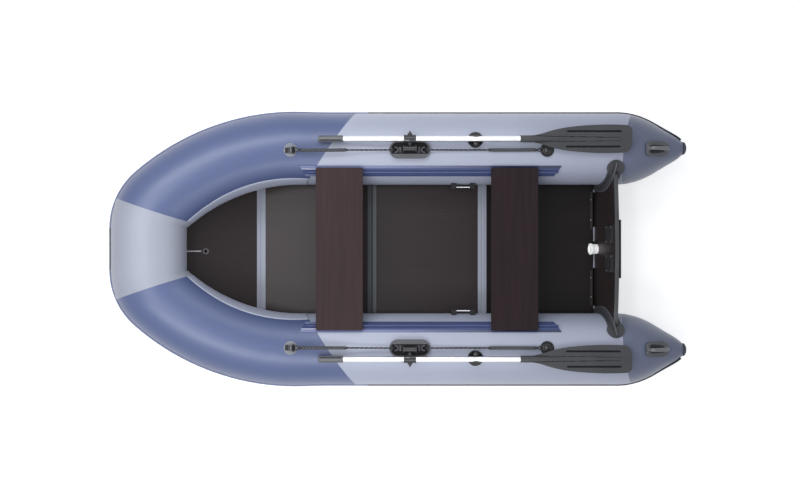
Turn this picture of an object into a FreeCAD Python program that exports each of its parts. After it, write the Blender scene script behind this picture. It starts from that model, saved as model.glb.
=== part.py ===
# Inflatable rowing boat with a sectional wooden floor, two sliding benches and two oars.
# +X runs to the bow, +Y to port and +Z up. The boat stands on the undersides of its side tubes,
# and the origin is at the middle of its length and width, at the height of the ground.
import FreeCAD, Part
import math
import os

from FreeCAD import Placement, Rotation, Vector

os.makedirs("parts", exist_ok=True)
document = FreeCAD.newDocument("InflatableRowingBoat")
sheet = document.addObject("Spreadsheet::Sheet", "Sizes")

# Driving dimensions, in millimetres and degrees
SIZES = {
    # Hull tubes
    "overall_length": 3200,
    "tube_radius": 202.5,
    "nose_half_width": 114,
    "nose_corner_radius": 208,
    "nose_corner_angle": 47.5,
    "shoulder_radius": 1154,
    "bow_rise_angle": 15,
    "rise_bend_radius": 600,
    "seat_gap": 0.3,
    "cut_reach": 5000,
    # Seams between the coloured stretches of the tubes
    "nose_seam_back": 208,
    "nose_seam_beyond": 39,
    "nose_seam_angle": 18.4,
    "shoulder_seam_lead": 60.7,
    "shoulder_seam_inset": 108.5,
    "shoulder_seam_angle": 124.5,
    "cone_seam_reach": 60,
    # Stern cones
    "cone_reach": 410,
    "cone_tip_rise": 40,
    "cap_radius": 44,
    "cap_length": 14,
    # Rubbing strake
    "strake_height": 42,
    "strake_thickness": 6,
    "strake_rounding": 3,
    # Bottom
    "skin_thickness": 3,
    "skin_sink": 6,
    "chine_angle": 60,
    "bow_chine_angle": 80,
    "keel_height": 2,
    "keel_rise_lead": 139.7,
    "keel_end_drop": 25,
    "skin_stern_gap": 40,
    "keel_tube_stern_gap": 130,
    "keel_tube_fore_gap": 2.3,
    # Floor
    "floor_top": 95,
    "floor_thickness": 12,
    "panel_gap": 1,
    "stern_panel_foot_gap": 7,
    "stern_panel_length": 647,
    "joiner_gap": 236.3,
    "bow_hinge_gap": 564.8,
    "bow_panel_length": 424,
    "bow_panel_angle": 17,
    "floor_side_inset": 122.5,
    "floor_taper_lead": 369.7,
    "floor_taper_inset": 76,
    "floor_front_gap": 133.8,
    "hinge_strip_width": 50,
    "hinge_strip_thickness": 1.5,
    "joiner_width": 50,
    "joiner_wall": 3,
    "keel_valve_ahead": 318.9,
    "keel_valve_y": 13,
    "keel_valve_radius": 18,
    "keel_valve_bore": 8.6,
    "keel_valve_height": 14,
    "keel_slit_width": 9,
    # Transom
    "transom_foot_gap": 93,
    "transom_lean": 10,
    "transom_thickness": 25,
    "transom_side_inset": 118.5,
    "transom_corner_height": 366,
    "transom_middle_height": 392,
    "transom_foot_height": 12,
    "transom_foot_rise": 30,
    "trim_depth": 14,
    "trim_wall": 3,
    "holder_wall": 12,
    "holder_flange": 24,
    "holder_foot_height": 110,
    "holder_pad_radius": 48,
    "holder_pad_wall": 16,
    "outer_plate_width": 326,
    "outer_plate_height": 150,
    "outer_plate_thickness": 8,
    "inner_plate_width": 100,
    "inner_plate_spacing": 162,
    "inner_plate_height": 90,
    "inner_plate_thickness": 12,
    "plate_top_drop": 22,
    "drain_height": 134,
    "drain_flange_radius": 33,
    "drain_body_radius": 22,
    "drain_bore_radius": 13,
    "drain_reach": 42,
    "drain_flare": 9,
    # Seat rails and benches
    "rail_stern_gap": 317,
    "rail_from_angle": 33,
    "rail_to_angle": 53,
    "rail_thickness": 4,
    "rib_angle": 43,
    "rib_radius": 6,
    "rib_neck": 6,
    "bench_width": 260,
    "bench_thickness": 15,
    "bench_overhang": 22.4,
    "bench_corner": 18,
    "bench_rise": 19.5,
    "front_bench_gap": 64.3,
    "rear_bench_gap": 577,
    "rib_neck_width": 4,
    "track_length": 150,
    "track_width": 26,
    "track_gap": 0.6,
    "track_wall": 3,
    # Oarlocks
    "oarlock_gap": 453.3,
    "oarlock_angle": 6.75,
    "pad_length": 226,
    "pad_width": 97,
    "pad_height": 14,
    "pad_lip": 8,
    "pad_recess": 4,
    "lug_thickness": 9,
    "lug_radius": 17,
    "hinge_pin_radius": 4,
    "hinge_lift": 3,
    "hinge_shift": 7,
    "barrel_radius": 14,
    "barrel_length": 56,
    "pin_gap": 0.4,
    "ear_x": 98,
    "ear_radius": 13,
    "ear_wire": 4,
    # Oars
    "pin_elevation": 20,
    "pin_radius": 6,
    "pin_length": 92,
    "knob_radius": 9,
    "knob_length": 12,
    "collar_distance": 54.6,
    "collar_radius": 22,
    "collar_length": 67,
    "boss_radius": 13,
    "boss_length": 58,
    "shaft_radius": 15,
    "shaft_fore_reach": 485,
    "grip_radius": 19,
    "grip_fore_reach": 501,
    "grip_aft_reach": 364,
    "grip_rounding": 3.6,
    "blade_fore_reach": 603,
    "blade_length": 608,
    "blade_half_width": 80,
    "blade_thickness": 8,
    "blade_tip_width_share": 0.62,
    "blade_corner_length_share": 0.03,
    "blade_corner_width_share": 0.88,
    "blade_sleeve_radius": 19,
    "blade_sleeve_length": 90,
    "blade_spine_radius": 6,
    "shaft_in_blade": 70,
    "groove_offset": 43,
    "groove_length": 300,
    "groove_width": 9,
    "groove_depth": 2,
    "groove_end_gap": 58,
    # Oar clips
    "clip_reach": 361,
    "clip_angle": -8.5,
    "clip_disc_radius": 43,
    "clip_disc_height": 9,
    "clip_post_radius": 9,
    "clip_wall": 5,
    "clip_length": 28,
    "clip_gap": 0.5,
    "clip_arm_gap": 1,
    "clip_arm_height": 6,
    # Rope eyes, lifelines and towing eye
    "eye_patch_radius": 38,
    "eye_patch_height": 3,
    "eye_loop_radius": 16,
    "eye_wire": 3,
    "eye_angle": 7,
    "fore_eye_share": 0.12,
    "aft_eye_gap": 400,
    "rope_radius": 3.5,
    "rope_sag": 8,
    "rope_knot_radius": 6,
    "towing_angle": 55,
    # Stern handles
    "handle_reach": 218,
    "handle_inset": 14.5,
    "handle_crown_share": 0.85,
    "handle_slope": 21,
    "handle_pad_length": 150,
    "handle_pad_width": 85,
    "handle_pad_height": 8,
    "handle_pad_corner": 30,
    "handle_span": 106,
    "handle_height": 36,
    "handle_bar_radius": 10,
    "handle_bend": 22,
    # Inner side grips
    "side_grip_lead": 251,
    "side_grip_span": 106,
    "side_grip_height": 240,
    "side_grip_reach": 17,
    "side_grip_radius": 4.5,
    "side_grip_mount_length": 30,
    "side_grip_mount_height": 26,
}

for row, (name, value) in enumerate(SIZES.items(), start=1):
    sheet.set("A%d" % row, name)
    sheet.set("B%d" % row, str(value))
    sheet.setAlias("B%d" % row, name)
document.recompute()


def size(name):
    """The value of one named size."""
    return float(sheet.get(name))


def primitive(kind, name, **sizes):
    """One primitive whose sizes follow the sheet, or lengths worked out from it."""
    item = document.addObject("Part::" + kind, name)
    for prop, value in sizes.items():
        if isinstance(value, str):
            item.setExpression(prop, value)
        else:
            setattr(item, prop, value)
    return item


def place(item, point=Vector(), turn=Rotation()):
    """Move a piece to its point, turned there."""
    item.Placement = Placement(point, turn)
    return item


def cut(name, base, tool):
    """One piece with another taken away."""
    item = document.addObject("Part::Cut", name)
    item.Base = base
    item.Tool = tool
    return item


def common(name, first, second):
    """What two pieces share."""
    item = document.addObject("Part::Common", name)
    item.Base = first
    item.Tool = second
    return item


def fuse(name, *pieces):
    """Several pieces made one."""
    item = document.addObject("Part::MultiFuse", name)
    item.Shapes = list(pieces)
    item.Refine = True
    return item


def solid(name, shape):
    """A piece whose form no primitive gives."""
    item = document.addObject("Part::Feature", name)
    item.Shape = shape
    return item


def group(name, *pieces):
    """Several like solids that share one node."""
    item = document.addObject("Part::Compound", name)
    item.Links = list(pieces)
    return item


def mirrored(name, source):
    """The same piece on the other side of the boat."""
    item = document.addObject("Part::Mirroring", name)
    item.Source = source
    item.Normal = Vector(0, 1, 0)
    return item


# Directions and turns
AXIS_X = Vector(1, 0, 0)
AXIS_Y = Vector(0, 1, 0)
AXIS_Z = Vector(0, 0, 1)
ALONG_X = Rotation(AXIS_Y, 90)
ALONG_Y = Rotation(AXIS_X, -90)

# Hull tube centre line: level side tube, upward bend, then shoulder and nose in one tilted plane
R = size("tube_radius")
GAP = size("seat_gap")
REACH = size("cut_reach")
RISE = math.radians(size("bow_rise_angle"))
CORNER = math.radians(size("nose_corner_angle"))
BEND = size("rise_bend_radius")
half_length = size("overall_length") / 2
strake_lip = size("strake_rounding")
nose_x = (half_length - strake_lip - (R + size("strake_thickness") - strake_lip) * math.cos(RISE)
          - (size("strake_height") / 2 - strake_lip) * math.sin(RISE))
corner_reach = size("nose_corner_radius") * (1 - math.cos(CORNER))
plane_reach = corner_reach + size("shoulder_radius") * math.cos(CORNER)
tube_y = (size("nose_half_width") + size("nose_corner_radius") * math.sin(CORNER)
          + size("shoulder_radius") * (1 - math.sin(CORNER)))
bend_front_x = nose_x - plane_reach * math.cos(RISE)
bend_back_x = bend_front_x - BEND * math.sin(RISE)
bend_front_z = R + BEND * (1 - math.cos(RISE))
nose_z = bend_front_z + plane_reach * math.sin(RISE)
cone_start_x = half_length - size("cone_reach")
cone_seam_x = cone_start_x + size("cone_seam_reach")
oarlock_x = size("oarlock_gap") - bend_back_x
TILT = Rotation(AXIS_Y, -size("bow_rise_angle"))
NOSE = Placement(Vector(nose_x, 0, nose_z), TILT)


def in_bow_plane(forward, out, turn=0):
    """A placement in the tilted plane of the bow, measured from the nose's middle."""
    return NOSE * Placement(Vector(forward, out, 0), Rotation(AXIS_Z, math.degrees(turn)))


def tube_point(station):
    """Centre and outward direction of the port tube: 0 to 1 is the shoulder, 1 to 2 the nose corner."""
    corner_centre = Vector(-size("nose_corner_radius"), size("nose_half_width"), 0)
    shoulder_lead = size("nose_corner_radius") - size("shoulder_radius")
    shoulder_centre = corner_centre + Vector(math.cos(CORNER), math.sin(CORNER), 0) * shoulder_lead
    if station <= 1:
        angle = math.pi / 2 + (CORNER - math.pi / 2) * station
        centre = shoulder_centre
        radius = size("shoulder_radius")
    else:
        angle = CORNER * (2 - station)
        centre = corner_centre
        radius = size("nose_corner_radius")
    out = Vector(math.cos(angle), math.sin(angle), 0)
    return NOSE.multVec(centre + out * radius), TILT.multVec(out)


def tube_run(name, growth):
    """The port tube from its stern end to the boat's middle, as fat as its radius plus growth."""
    fat = "Sizes.tube_radius + " + growth
    side = primitive("Cylinder", name + "_side", Radius=fat)
    side.Height = bend_back_x + cone_start_x
    place(side, Vector(-cone_start_x, tube_y, R), ALONG_X)
    bend = primitive("Torus", name + "_bend", Radius1="Sizes.rise_bend_radius", Radius2=fat,
                     Angle3="Sizes.bow_rise_angle")
    bend.Placement = Placement(Vector(bend_back_x, tube_y, R + BEND), Rotation(AXIS_X, AXIS_Z, -AXIS_Y, "XYZ"))
    bend.Placement = bend.Placement * Placement(Vector(), Rotation(AXIS_Z, -90))
    corner = primitive("Torus", name + "_corner", Radius1="Sizes.nose_corner_radius", Radius2=fat,
                       Angle3="Sizes.nose_corner_angle")
    corner.Placement = in_bow_plane(-size("nose_corner_radius"), size("nose_half_width"))
    shoulder = primitive("Torus", name + "_shoulder", Radius1="Sizes.shoulder_radius", Radius2=fat,
                         Angle3="90 - Sizes.nose_corner_angle")
    lead = size("nose_corner_radius") - size("shoulder_radius")
    shoulder.Placement = in_bow_plane(lead * math.cos(CORNER) - size("nose_corner_radius"),
                                      lead * math.sin(CORNER) + size("nose_half_width"), CORNER)
    nose = primitive("Cylinder", name + "_nose", Radius=fat, Height="Sizes.nose_half_width")
    nose.Placement = NOSE * Placement(Vector(), ALONG_Y)
    return fuse(name, side, bend, shoulder, corner, nose)


def half_space(name, x, y, angle):
    """All that lies to the left of a line in plan through x, y, running at an angle to +X."""
    box = primitive("Box", name, Length="2 * Sizes.cut_reach", Width="Sizes.cut_reach",
                    Height="2 * Sizes.cut_reach")
    corner = Placement(Vector(-REACH, 0, -REACH), Rotation())
    box.Placement = Placement(Vector(x, y, 0), Rotation(AXIS_Z, angle)) * corner
    return box


# Tubes, split where the coloured fabrics meet
port_run = tube_run("port_run", "0")
nose_seam_x = nose_x - size("nose_seam_back")
nose_seam_y = size("nose_half_width") + size("nose_seam_beyond")
beyond_nose = half_space("beyond_nose", nose_seam_x, nose_seam_y, size("nose_seam_angle"))
beyond_shoulder = half_space("beyond_shoulder", bend_back_x + size("shoulder_seam_lead"),
                             tube_y - size("shoulder_seam_inset"), size("shoulder_seam_angle"))
port_nose = cut("port_nose", port_run, beyond_nose)
bow_tube = fuse("bow_tube", port_nose, mirrored("starboard_nose", port_nose))
port_arm = common("port_arm", port_run, beyond_nose)
shoulder_tube_port = cut("shoulder_tube_port", port_arm, beyond_shoulder)
shoulder_tube_starboard = mirrored("shoulder_tube_starboard", shoulder_tube_port)

# Stern cones: a round nose on the level tube, its centre line rising a little to the end cap
CONE_LENGTH_SHARES = (0, 0.1, 0.22, 0.39, 0.54, 0.66, 0.76, 0.85, 0.93, 1)
CONE_RADIUS_SHARES = (1, 0.998, 0.973, 0.884, 0.75, 0.61, 0.49, 0.385, 0.285, 0.217)
cone_end_x = half_length - size("cap_length") - GAP
cone_length = cone_end_x - cone_start_x


def cone_section(share):
    """Centre of the cone at a share of its length."""
    return Vector(-cone_start_x - share * cone_length, tube_y,
                  R + size("cone_tip_rise") * share * share)


def cone_shape(growth):
    """The cone, fattened by growth."""
    rings = []
    for share, radius_share in zip(CONE_LENGTH_SHARES, CONE_RADIUS_SHARES):
        circle = Part.Circle(cone_section(share), AXIS_X, R * radius_share + growth)
        rings.append(Part.Wire(circle.toShape()))
    return Part.makeLoft(rings, True)


cone_whole = solid("cone_whole", cone_shape(0))
beyond_cone = half_space("beyond_cone", -cone_seam_x, 0, 90)
port_side_whole = fuse("port_side_whole", common("port_side_run", port_arm, beyond_shoulder), cone_whole)
side_tube_port = cut("side_tube_port", port_side_whole, beyond_cone)
side_tube_starboard = mirrored("side_tube_starboard", side_tube_port)
stern_cone_port = common("stern_cone_port", cone_whole, beyond_cone)
stern_cone_starboard = mirrored("stern_cone_starboard", stern_cone_port)

cap_whole = primitive("Cylinder", "cap_whole", Radius="Sizes.cap_radius", Height="Sizes.cap_length")
place(cap_whole, Vector(-half_length, tube_y, R + size("cone_tip_rise")), ALONG_X)
port_cap = document.addObject("Part::Fillet", "port_cap")
port_cap.Base = cap_whole
document.recompute()
cap_rim = [number for number, edge in enumerate(cap_whole.Shape.Edges, start=1)
           if abs(edge.CenterOfMass.x + half_length) < GAP and edge.Closed and len(edge.Vertexes) == 1]
port_cap.Edges = [(number, size("cap_length") / 2, size("cap_length") / 2) for number in cap_rim]
cone_caps = group("cone_caps", port_cap, mirrored("starboard_cap", port_cap))

# What the pieces between the tubes are trimmed by: both tubes, a seat gap fatter
port_clearance = fuse("port_clearance", tube_run("port_fat_run", "Sizes.seat_gap"),
                      solid("port_fat_cone", cone_shape(GAP)))
clearance = fuse("clearance", port_clearance, mirrored("starboard_clearance", port_clearance))


def on_side_tube(x, angle, height):
    """A spot on the port side tube, angle degrees inboard of its crown, facing straight out."""
    centre = Placement(Vector(x, tube_y, R), Rotation(AXIS_X, angle))
    return centre * Placement(Vector(0, 0, R + height), Rotation())


def on_bow_tube(station, angle, height):
    """A spot on the port shoulder or nose corner, angle degrees inboard of its crown."""
    centre, out = tube_point(station)
    up = TILT.multVec(AXIS_Z)
    frame = Placement(centre, Rotation(out.cross(up), -out, up, "ZXY"))
    frame = frame * Placement(Vector(), Rotation(AXIS_X, angle))
    return frame * Placement(Vector(0, 0, R + height), Rotation())


def rounded_strip(inner, outer, half_height, rounding):
    """A strip's section on the outer side of a tube, its two outer corners rounded."""
    low = Vector(inner, 0, -half_height)
    high = Vector(inner, 0, half_height)
    flat_low = Vector(outer - rounding, 0, -half_height)
    flat_high = Vector(outer - rounding, 0, half_height)
    round_low = Vector(outer, 0, rounding - half_height)
    round_high = Vector(outer, 0, half_height - rounding)
    slack = rounding * (1 - math.sqrt(0.5))
    middle_low = Vector(outer - slack, 0, slack - half_height)
    middle_high = Vector(outer - slack, 0, half_height - slack)
    edges = [Part.makeLine(high, low), Part.makeLine(low, flat_low),
             Part.Arc(flat_low, middle_low, round_low).toShape(), Part.makeLine(round_low, round_high),
             Part.Arc(round_high, middle_high, flat_high).toShape(), Part.makeLine(flat_high, high)]
    return Part.Face(Part.Wire(edges))


def sector(inner, outer, from_angle, to_angle):
    """A strip's section that lies on a tube, between two angles inboard of its crown."""
    def at(radius, angle):
        turn = math.radians(angle)
        return Vector(-radius * math.sin(turn), 0, radius * math.cos(turn))

    middle = (from_angle + to_angle) / 2
    edges = [Part.Arc(at(inner, from_angle), at(inner, middle), at(inner, to_angle)).toShape(),
             Part.makeLine(at(inner, to_angle), at(outer, to_angle)),
             Part.Arc(at(outer, to_angle), at(outer, middle), at(outer, from_angle)).toShape(),
             Part.makeLine(at(outer, from_angle), at(inner, from_angle))]
    return Part.Face(Part.Wire(edges))


def placed(shape, placement):
    """A copy of a section, moved to its place."""
    copy = shape.copy()
    copy.Placement = placement
    return copy


def along_side(section, from_x, to_x):
    """A section run along the level side tube."""
    start = placed(section, Placement(Vector(to_x, tube_y, R), Rotation(AXIS_Z, 90)))
    return start.extrude(Vector(from_x - to_x, 0, 0))


def along_bend(section):
    """A section run round the upward bend."""
    start = placed(section, Placement(Vector(bend_back_x, tube_y, R), Rotation(AXIS_Z, 90)))
    return start.revolve(Vector(bend_back_x, tube_y, R + BEND), -AXIS_Y, size("bow_rise_angle"))


def along_bow(section):
    """A section run round the shoulder and the corner to the nose's middle."""
    def arc(centre, radius, turn, sweep):
        placement = centre * Placement(Vector(radius, 0, 0), Rotation())
        return placed(section, placement).revolve(centre.Base, TILT.multVec(AXIS_Z), math.degrees(sweep))

    corner_centre = in_bow_plane(-size("nose_corner_radius"), size("nose_half_width"))
    lead = size("nose_corner_radius") - size("shoulder_radius")
    shoulder_centre = in_bow_plane(lead * math.cos(CORNER) - size("nose_corner_radius"),
                                   lead * math.sin(CORNER) + size("nose_half_width"), CORNER)
    corner = arc(corner_centre, size("nose_corner_radius"), 0, CORNER)
    shoulder = arc(shoulder_centre, size("shoulder_radius"), CORNER, math.pi / 2 - CORNER)
    nose = placed(section, NOSE).extrude(AXIS_Y * size("nose_half_width"))
    return shoulder.multiFuse([corner, nose])


# Rubbing strake: a moulded strip round the widest line of the tubes, climbing a little on the cones
strake_inner = R + GAP
strake_outer = R + size("strake_thickness")
strake_half = size("strake_height") / 2
strake_section = rounded_strip(strake_inner, strake_outer, strake_half, size("strake_rounding"))
port_bow_strake = solid("port_bow_strake", along_bow(strake_section))
rub_strake_bow = fuse("rub_strake_bow", port_bow_strake, mirrored("starboard_bow_strake", port_bow_strake))

STRAKE_STATIONS = tuple(zip(CONE_LENGTH_SHARES, CONE_RADIUS_SHARES))[:-1]
strake_rings = []
for share, radius_share in STRAKE_STATIONS:
    ring = rounded_strip(R * radius_share + GAP, R * radius_share + size("strake_thickness"), strake_half,
                         size("strake_rounding"))
    strake_rings.append(placed(ring, Placement(cone_section(share), Rotation(AXIS_Z, 90))).OuterWire)
side_strake_shape = along_side(strake_section, -cone_start_x, bend_back_x)
side_strake_shape = side_strake_shape.multiFuse([along_bend(strake_section), Part.makeLoft(strake_rings, True)])
rub_strake_port = solid("rub_strake_port", side_strake_shape)
rub_strake_starboard = mirrored("rub_strake_starboard", rub_strake_port)

# Bottom: one V-shaped skin glued to the lower inner side of the tubes, over an inflated keel
skin_radius = R - size("skin_sink")


def chine_point(centre, out, up, turn_share):
    """Where the bottom meets the port tube; towards the bow it meets it further under."""
    turn = size("chine_angle") + (size("bow_chine_angle") - size("chine_angle")) * turn_share
    turn = math.radians(turn)
    return centre - (out * math.cos(turn) + up * math.sin(turn)) * skin_radius


skin_stern_x = size("skin_stern_gap") - cone_start_x
chine = [chine_point(Vector(x, tube_y, R), AXIS_Y, AXIS_Z, 0) for x in (skin_stern_x, bend_back_x)]
for bend_share, turn_share in ((0.5, 0.1), (1, 0.3)):
    turn = RISE * bend_share
    up = Vector(-math.sin(turn), 0, math.cos(turn))
    chine.append(chine_point(Vector(bend_back_x, tube_y, R + BEND) - up * BEND, AXIS_Y, up, turn_share))
CHINE_STATIONS = (0.15, 0.3, 0.45, 0.6, 0.75, 0.88, 1, 1.25, 1.5, 1.75, 2)
CHINE_TURN_SHARES = (0.6, 0.85, 1, 1, 1, 1, 1, 1, 1, 1, 1)
for station, turn_share in zip(CHINE_STATIONS, CHINE_TURN_SHARES):
    centre, out = tube_point(station)
    chine.append(chine_point(centre, out, TILT.multVec(AXIS_Z), turn_share))
keel_end = chine[-1]
keel_rise_x = bend_back_x + size("keel_rise_lead")


def keel_point(x):
    """The keel line: straight aft, rising to the nose in a parabola."""
    share = max(0, (x - keel_rise_x) / (keel_end.x - keel_rise_x))
    rise = keel_end.z - size("keel_end_drop") - size("keel_height")
    return Vector(x, 0, size("keel_height") + rise * share * share)


skin_up = Vector(0, 0, size("skin_thickness"))
skin_wires = []
for port_edge in chine:
    starboard_edge = Vector(port_edge.x, -port_edge.y, port_edge.z)
    keel = keel_point(port_edge.x)
    skin_wires.append(Part.makePolygon([port_edge, keel, starboard_edge, starboard_edge + skin_up,
                                        keel + skin_up, port_edge + skin_up, port_edge]))
skin_whole = solid("skin_whole", Part.makeLoft(skin_wires, True, True))
bottom_skin = cut("bottom_skin", skin_whole, clearance)

keel_foot = size("keel_height") + size("skin_thickness") + GAP
keel_tube_head = size("floor_top") - size("floor_thickness") - size("joiner_wall") - 2 * GAP
keel_tube = primitive("Cylinder", "keel_tube")
keel_tube.Radius = (keel_tube_head - keel_foot) / 2
keel_tube_aft_x = cone_start_x - size("keel_tube_stern_gap")
keel_tube.Height = keel_tube_aft_x + bend_back_x - size("keel_tube_fore_gap")
place(keel_tube, Vector(-keel_tube_aft_x, 0, (keel_foot + keel_tube_head) / 2), ALONG_X)

# Floor: plywood panels between the tubes, hinged in two places and held by a profile amidships
web_half = size("joiner_wall") / 2 + GAP
floor_bottom = size("floor_top") - size("floor_thickness")
floor_half_width = tube_y - size("floor_side_inset")
transom_foot_x = cone_start_x - size("transom_foot_gap")
stern_panel_end_x = transom_foot_x + size("stern_panel_foot_gap")
stern_hinge_x = stern_panel_end_x - size("stern_panel_length")
joiner_x = bend_back_x - size("joiner_gap")
bow_hinge_x = nose_x - size("bow_hinge_gap")


def floor_panel(name, from_x, to_x):
    """One level panel, its sides trimmed to the tubes."""
    board = primitive("Box", name + "_board", Length=to_x - from_x, Width=2 * floor_half_width,
                      Height="Sizes.floor_thickness")
    place(board, Vector(from_x, -floor_half_width, floor_bottom))
    return cut(name, board, clearance)


# The floor narrows forward and ends in half an ellipse, so that it stays inside the bottom
taper_x = bend_back_x + size("floor_taper_lead")
taper_y = floor_half_width - size("floor_taper_inset")
front_ellipse = Part.Ellipse(Vector(taper_x, 0, 0), nose_x - size("floor_front_gap") - taper_x, taper_y)
taper_port = Vector(taper_x, taper_y, 0)
taper_starboard = Vector(taper_x, -taper_y, 0)
wide_port = Vector(bend_back_x, floor_half_width, 0)
wide_starboard = Vector(bend_back_x, -floor_half_width, 0)
outline_wire = Part.Wire([front_ellipse.toShape(-math.pi / 2, math.pi / 2),
                          Part.makeLine(taper_port, wide_port),
                          Part.makeLine(wide_port, wide_port - AXIS_X * REACH),
                          Part.makeLine(wide_port - AXIS_X * REACH, wide_starboard - AXIS_X * REACH),
                          Part.makeLine(wide_starboard - AXIS_X * REACH, wide_starboard),
                          Part.makeLine(wide_starboard, taper_starboard)])
floor_outline = solid("floor_outline", Part.Face(outline_wire).extrude(AXIS_Z * R * 2))

half_gap = size("panel_gap") / 2
floor_panel_stern = floor_panel("floor_panel_stern", -stern_panel_end_x, -stern_hinge_x - half_gap)
floor_panel_middle = floor_panel("floor_panel_middle", half_gap - stern_hinge_x,
                                 joiner_x - web_half)
fore_blank = floor_panel("fore_blank", joiner_x + web_half, bow_hinge_x - half_gap)
floor_panel_fore = common("floor_panel_fore", fore_blank, floor_outline)

bow_hinge = Placement(Vector(bow_hinge_x, 0, size("floor_top")),
                      Rotation(AXIS_Y, -size("bow_panel_angle")))
bow_board = primitive("Box", "bow_board", Length="Sizes.bow_panel_length - Sizes.panel_gap",
                      Width=2 * floor_half_width, Height="Sizes.floor_thickness")
bow_board.Placement = bow_hinge * Placement(Vector(size("panel_gap"), -floor_half_width,
                                                   -size("floor_thickness")), Rotation())
bow_blank = common("bow_blank", cut("bow_trimmed", bow_board, clearance), floor_outline)

# Keel valve: a ring in the bow panel, reached through a slot from the panel's fore edge
valve_place = bow_hinge * Placement(Vector(size("keel_valve_ahead"), size("keel_valve_y"),
                                           -size("floor_thickness")), Rotation())
valve_hole = primitive("Cylinder", "valve_hole", Radius="Sizes.keel_valve_radius + Sizes.seat_gap",
                       Height="4 * Sizes.floor_thickness")
valve_hole.Placement = valve_place * Placement(Vector(0, 0, -size("floor_thickness")), Rotation())
valve_slit = primitive("Box", "valve_slit", Length="Sizes.bow_panel_length", Width="Sizes.keel_slit_width",
                       Height="4 * Sizes.floor_thickness")
slit_corner = Vector(0, -size("keel_slit_width") / 2, -size("floor_thickness"))
valve_slit.Placement = valve_place * Placement(slit_corner, Rotation())
floor_panel_bow = cut("floor_panel_bow", bow_blank, fuse("valve_opening", valve_hole, valve_slit))
valve_ring = primitive("Cylinder", "valve_ring", Radius="Sizes.keel_valve_radius",
                       Height="Sizes.keel_valve_height")
valve_ring.Placement = valve_place
valve_bore = primitive("Cylinder", "valve_bore", Radius="Sizes.keel_valve_bore",
                       Height="2 * Sizes.keel_valve_height")
valve_bore.Placement = valve_place * Placement(Vector(0, 0, -size("floor_thickness")), Rotation())
keel_valve = cut("keel_valve", valve_ring, valve_bore)

# Hinge strips: welded fabric over the two folds
strip_half = size("hinge_strip_width") / 2
strip_foot = size("floor_top") + GAP
strip_up = Vector(0, 0, size("hinge_strip_thickness"))


def strip_shape(points):
    """A thin strip across the floor through points along the boat."""
    side = Vector(0, -floor_half_width, 0)
    low = [Vector(x, 0, z) + side for x, z in points]
    high = [point + strip_up for point in reversed(low)]
    face = Part.Face(Part.makePolygon(low + high + low[:1]))
    return face.extrude(side * -2)


fold_front = bow_hinge.multVec(Vector(strip_half, 0, GAP))
fold_middle = bow_hinge.multVec(Vector(0, 0, GAP))
stern_strip = solid("stern_strip", strip_shape([(-stern_hinge_x - strip_half, strip_foot),
                                                (strip_half - stern_hinge_x, strip_foot)]))
bow_strip = solid("bow_strip", strip_shape([(bow_hinge_x - strip_half, strip_foot),
                                            (fold_middle.x, fold_middle.z), (fold_front.x, fold_front.z)]))
floor_hinge_strips = group("floor_hinge_strips", cut("stern_strip_trimmed", stern_strip, clearance),
                           common("bow_strip_trimmed", cut("bow_strip_cut", bow_strip, clearance), floor_outline))

# Floor joiner: an H-shaped profile that takes the edges of two panels
joiner_height = size("floor_thickness") + 2 * (GAP + size("joiner_wall"))
joiner_foot = floor_bottom - GAP - size("joiner_wall")
joiner_blank = primitive("Box", "joiner_blank", Length="Sizes.joiner_width", Width=2 * floor_half_width,
                         Height=joiner_height)
place(joiner_blank, Vector(joiner_x - size("joiner_width") / 2, -floor_half_width, joiner_foot))


def joiner_slot(name, from_x):
    """The groove that holds one panel's edge."""
    slot = primitive("Box", name, Length="Sizes.joiner_width", Width=2 * floor_half_width,
                     Height="Sizes.floor_thickness + 2 * Sizes.seat_gap")
    return place(slot, Vector(from_x, -floor_half_width, floor_bottom - GAP))


joiner_slots = fuse("joiner_slots", joiner_slot("fore_slot", joiner_x + size("joiner_wall") / 2),
                    joiner_slot("aft_slot", joiner_x - size("joiner_wall") / 2 - size("joiner_width")))
floor_joiner = cut("floor_joiner", cut("joiner_section", joiner_blank, joiner_slots), clearance)


# Transom: a leaning plywood board between the tubes, its sides trimmed to them
lean = Rotation(AXIS_Y, -size("transom_lean"))
transom_foot = Placement(Vector(-transom_foot_x, 0, 0), lean)
along_board = 1 / math.cos(math.radians(size("transom_lean")))


def on_transom(forward, y, height):
    """A placement on the transom's inner face, at a true height above the ground."""
    return transom_foot * Placement(Vector(forward, y, height * along_board), Rotation())


def transom_shape(growth, top_growth):
    """The transom board, thicker and taller by so much on each side."""
    corner_height = (size("transom_corner_height") + top_growth) * along_board
    middle_height = (size("transom_middle_height") + top_growth) * along_board
    foot_y = tube_y - size("transom_side_inset")
    corner_port = Vector(growth, foot_y, corner_height)
    corner_starboard = Vector(growth, -foot_y, corner_height)
    side_foot = (size("transom_foot_height") + size("transom_foot_rise")) * along_board
    edges = [Part.Arc(corner_port, Vector(growth, 0, middle_height), corner_starboard).toShape(),
             Part.makeLine(corner_starboard, Vector(growth, -foot_y, side_foot)),
             Part.makeLine(Vector(growth, -foot_y, side_foot), Vector(growth, 0, size("transom_foot_height"))),
             Part.makeLine(Vector(growth, 0, size("transom_foot_height")), Vector(growth, foot_y, side_foot)),
             Part.makeLine(Vector(growth, foot_y, side_foot), corner_port)]
    board = Part.Face(Part.Wire(edges)).extrude(Vector(-size("transom_thickness") - 2 * growth, 0, 0))
    board.Placement = transom_foot
    return board


transom = cut("transom", solid("transom_board", transom_shape(0, 0)), clearance)
transom_envelope = solid("transom_envelope", transom_shape(GAP, GAP))

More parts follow.
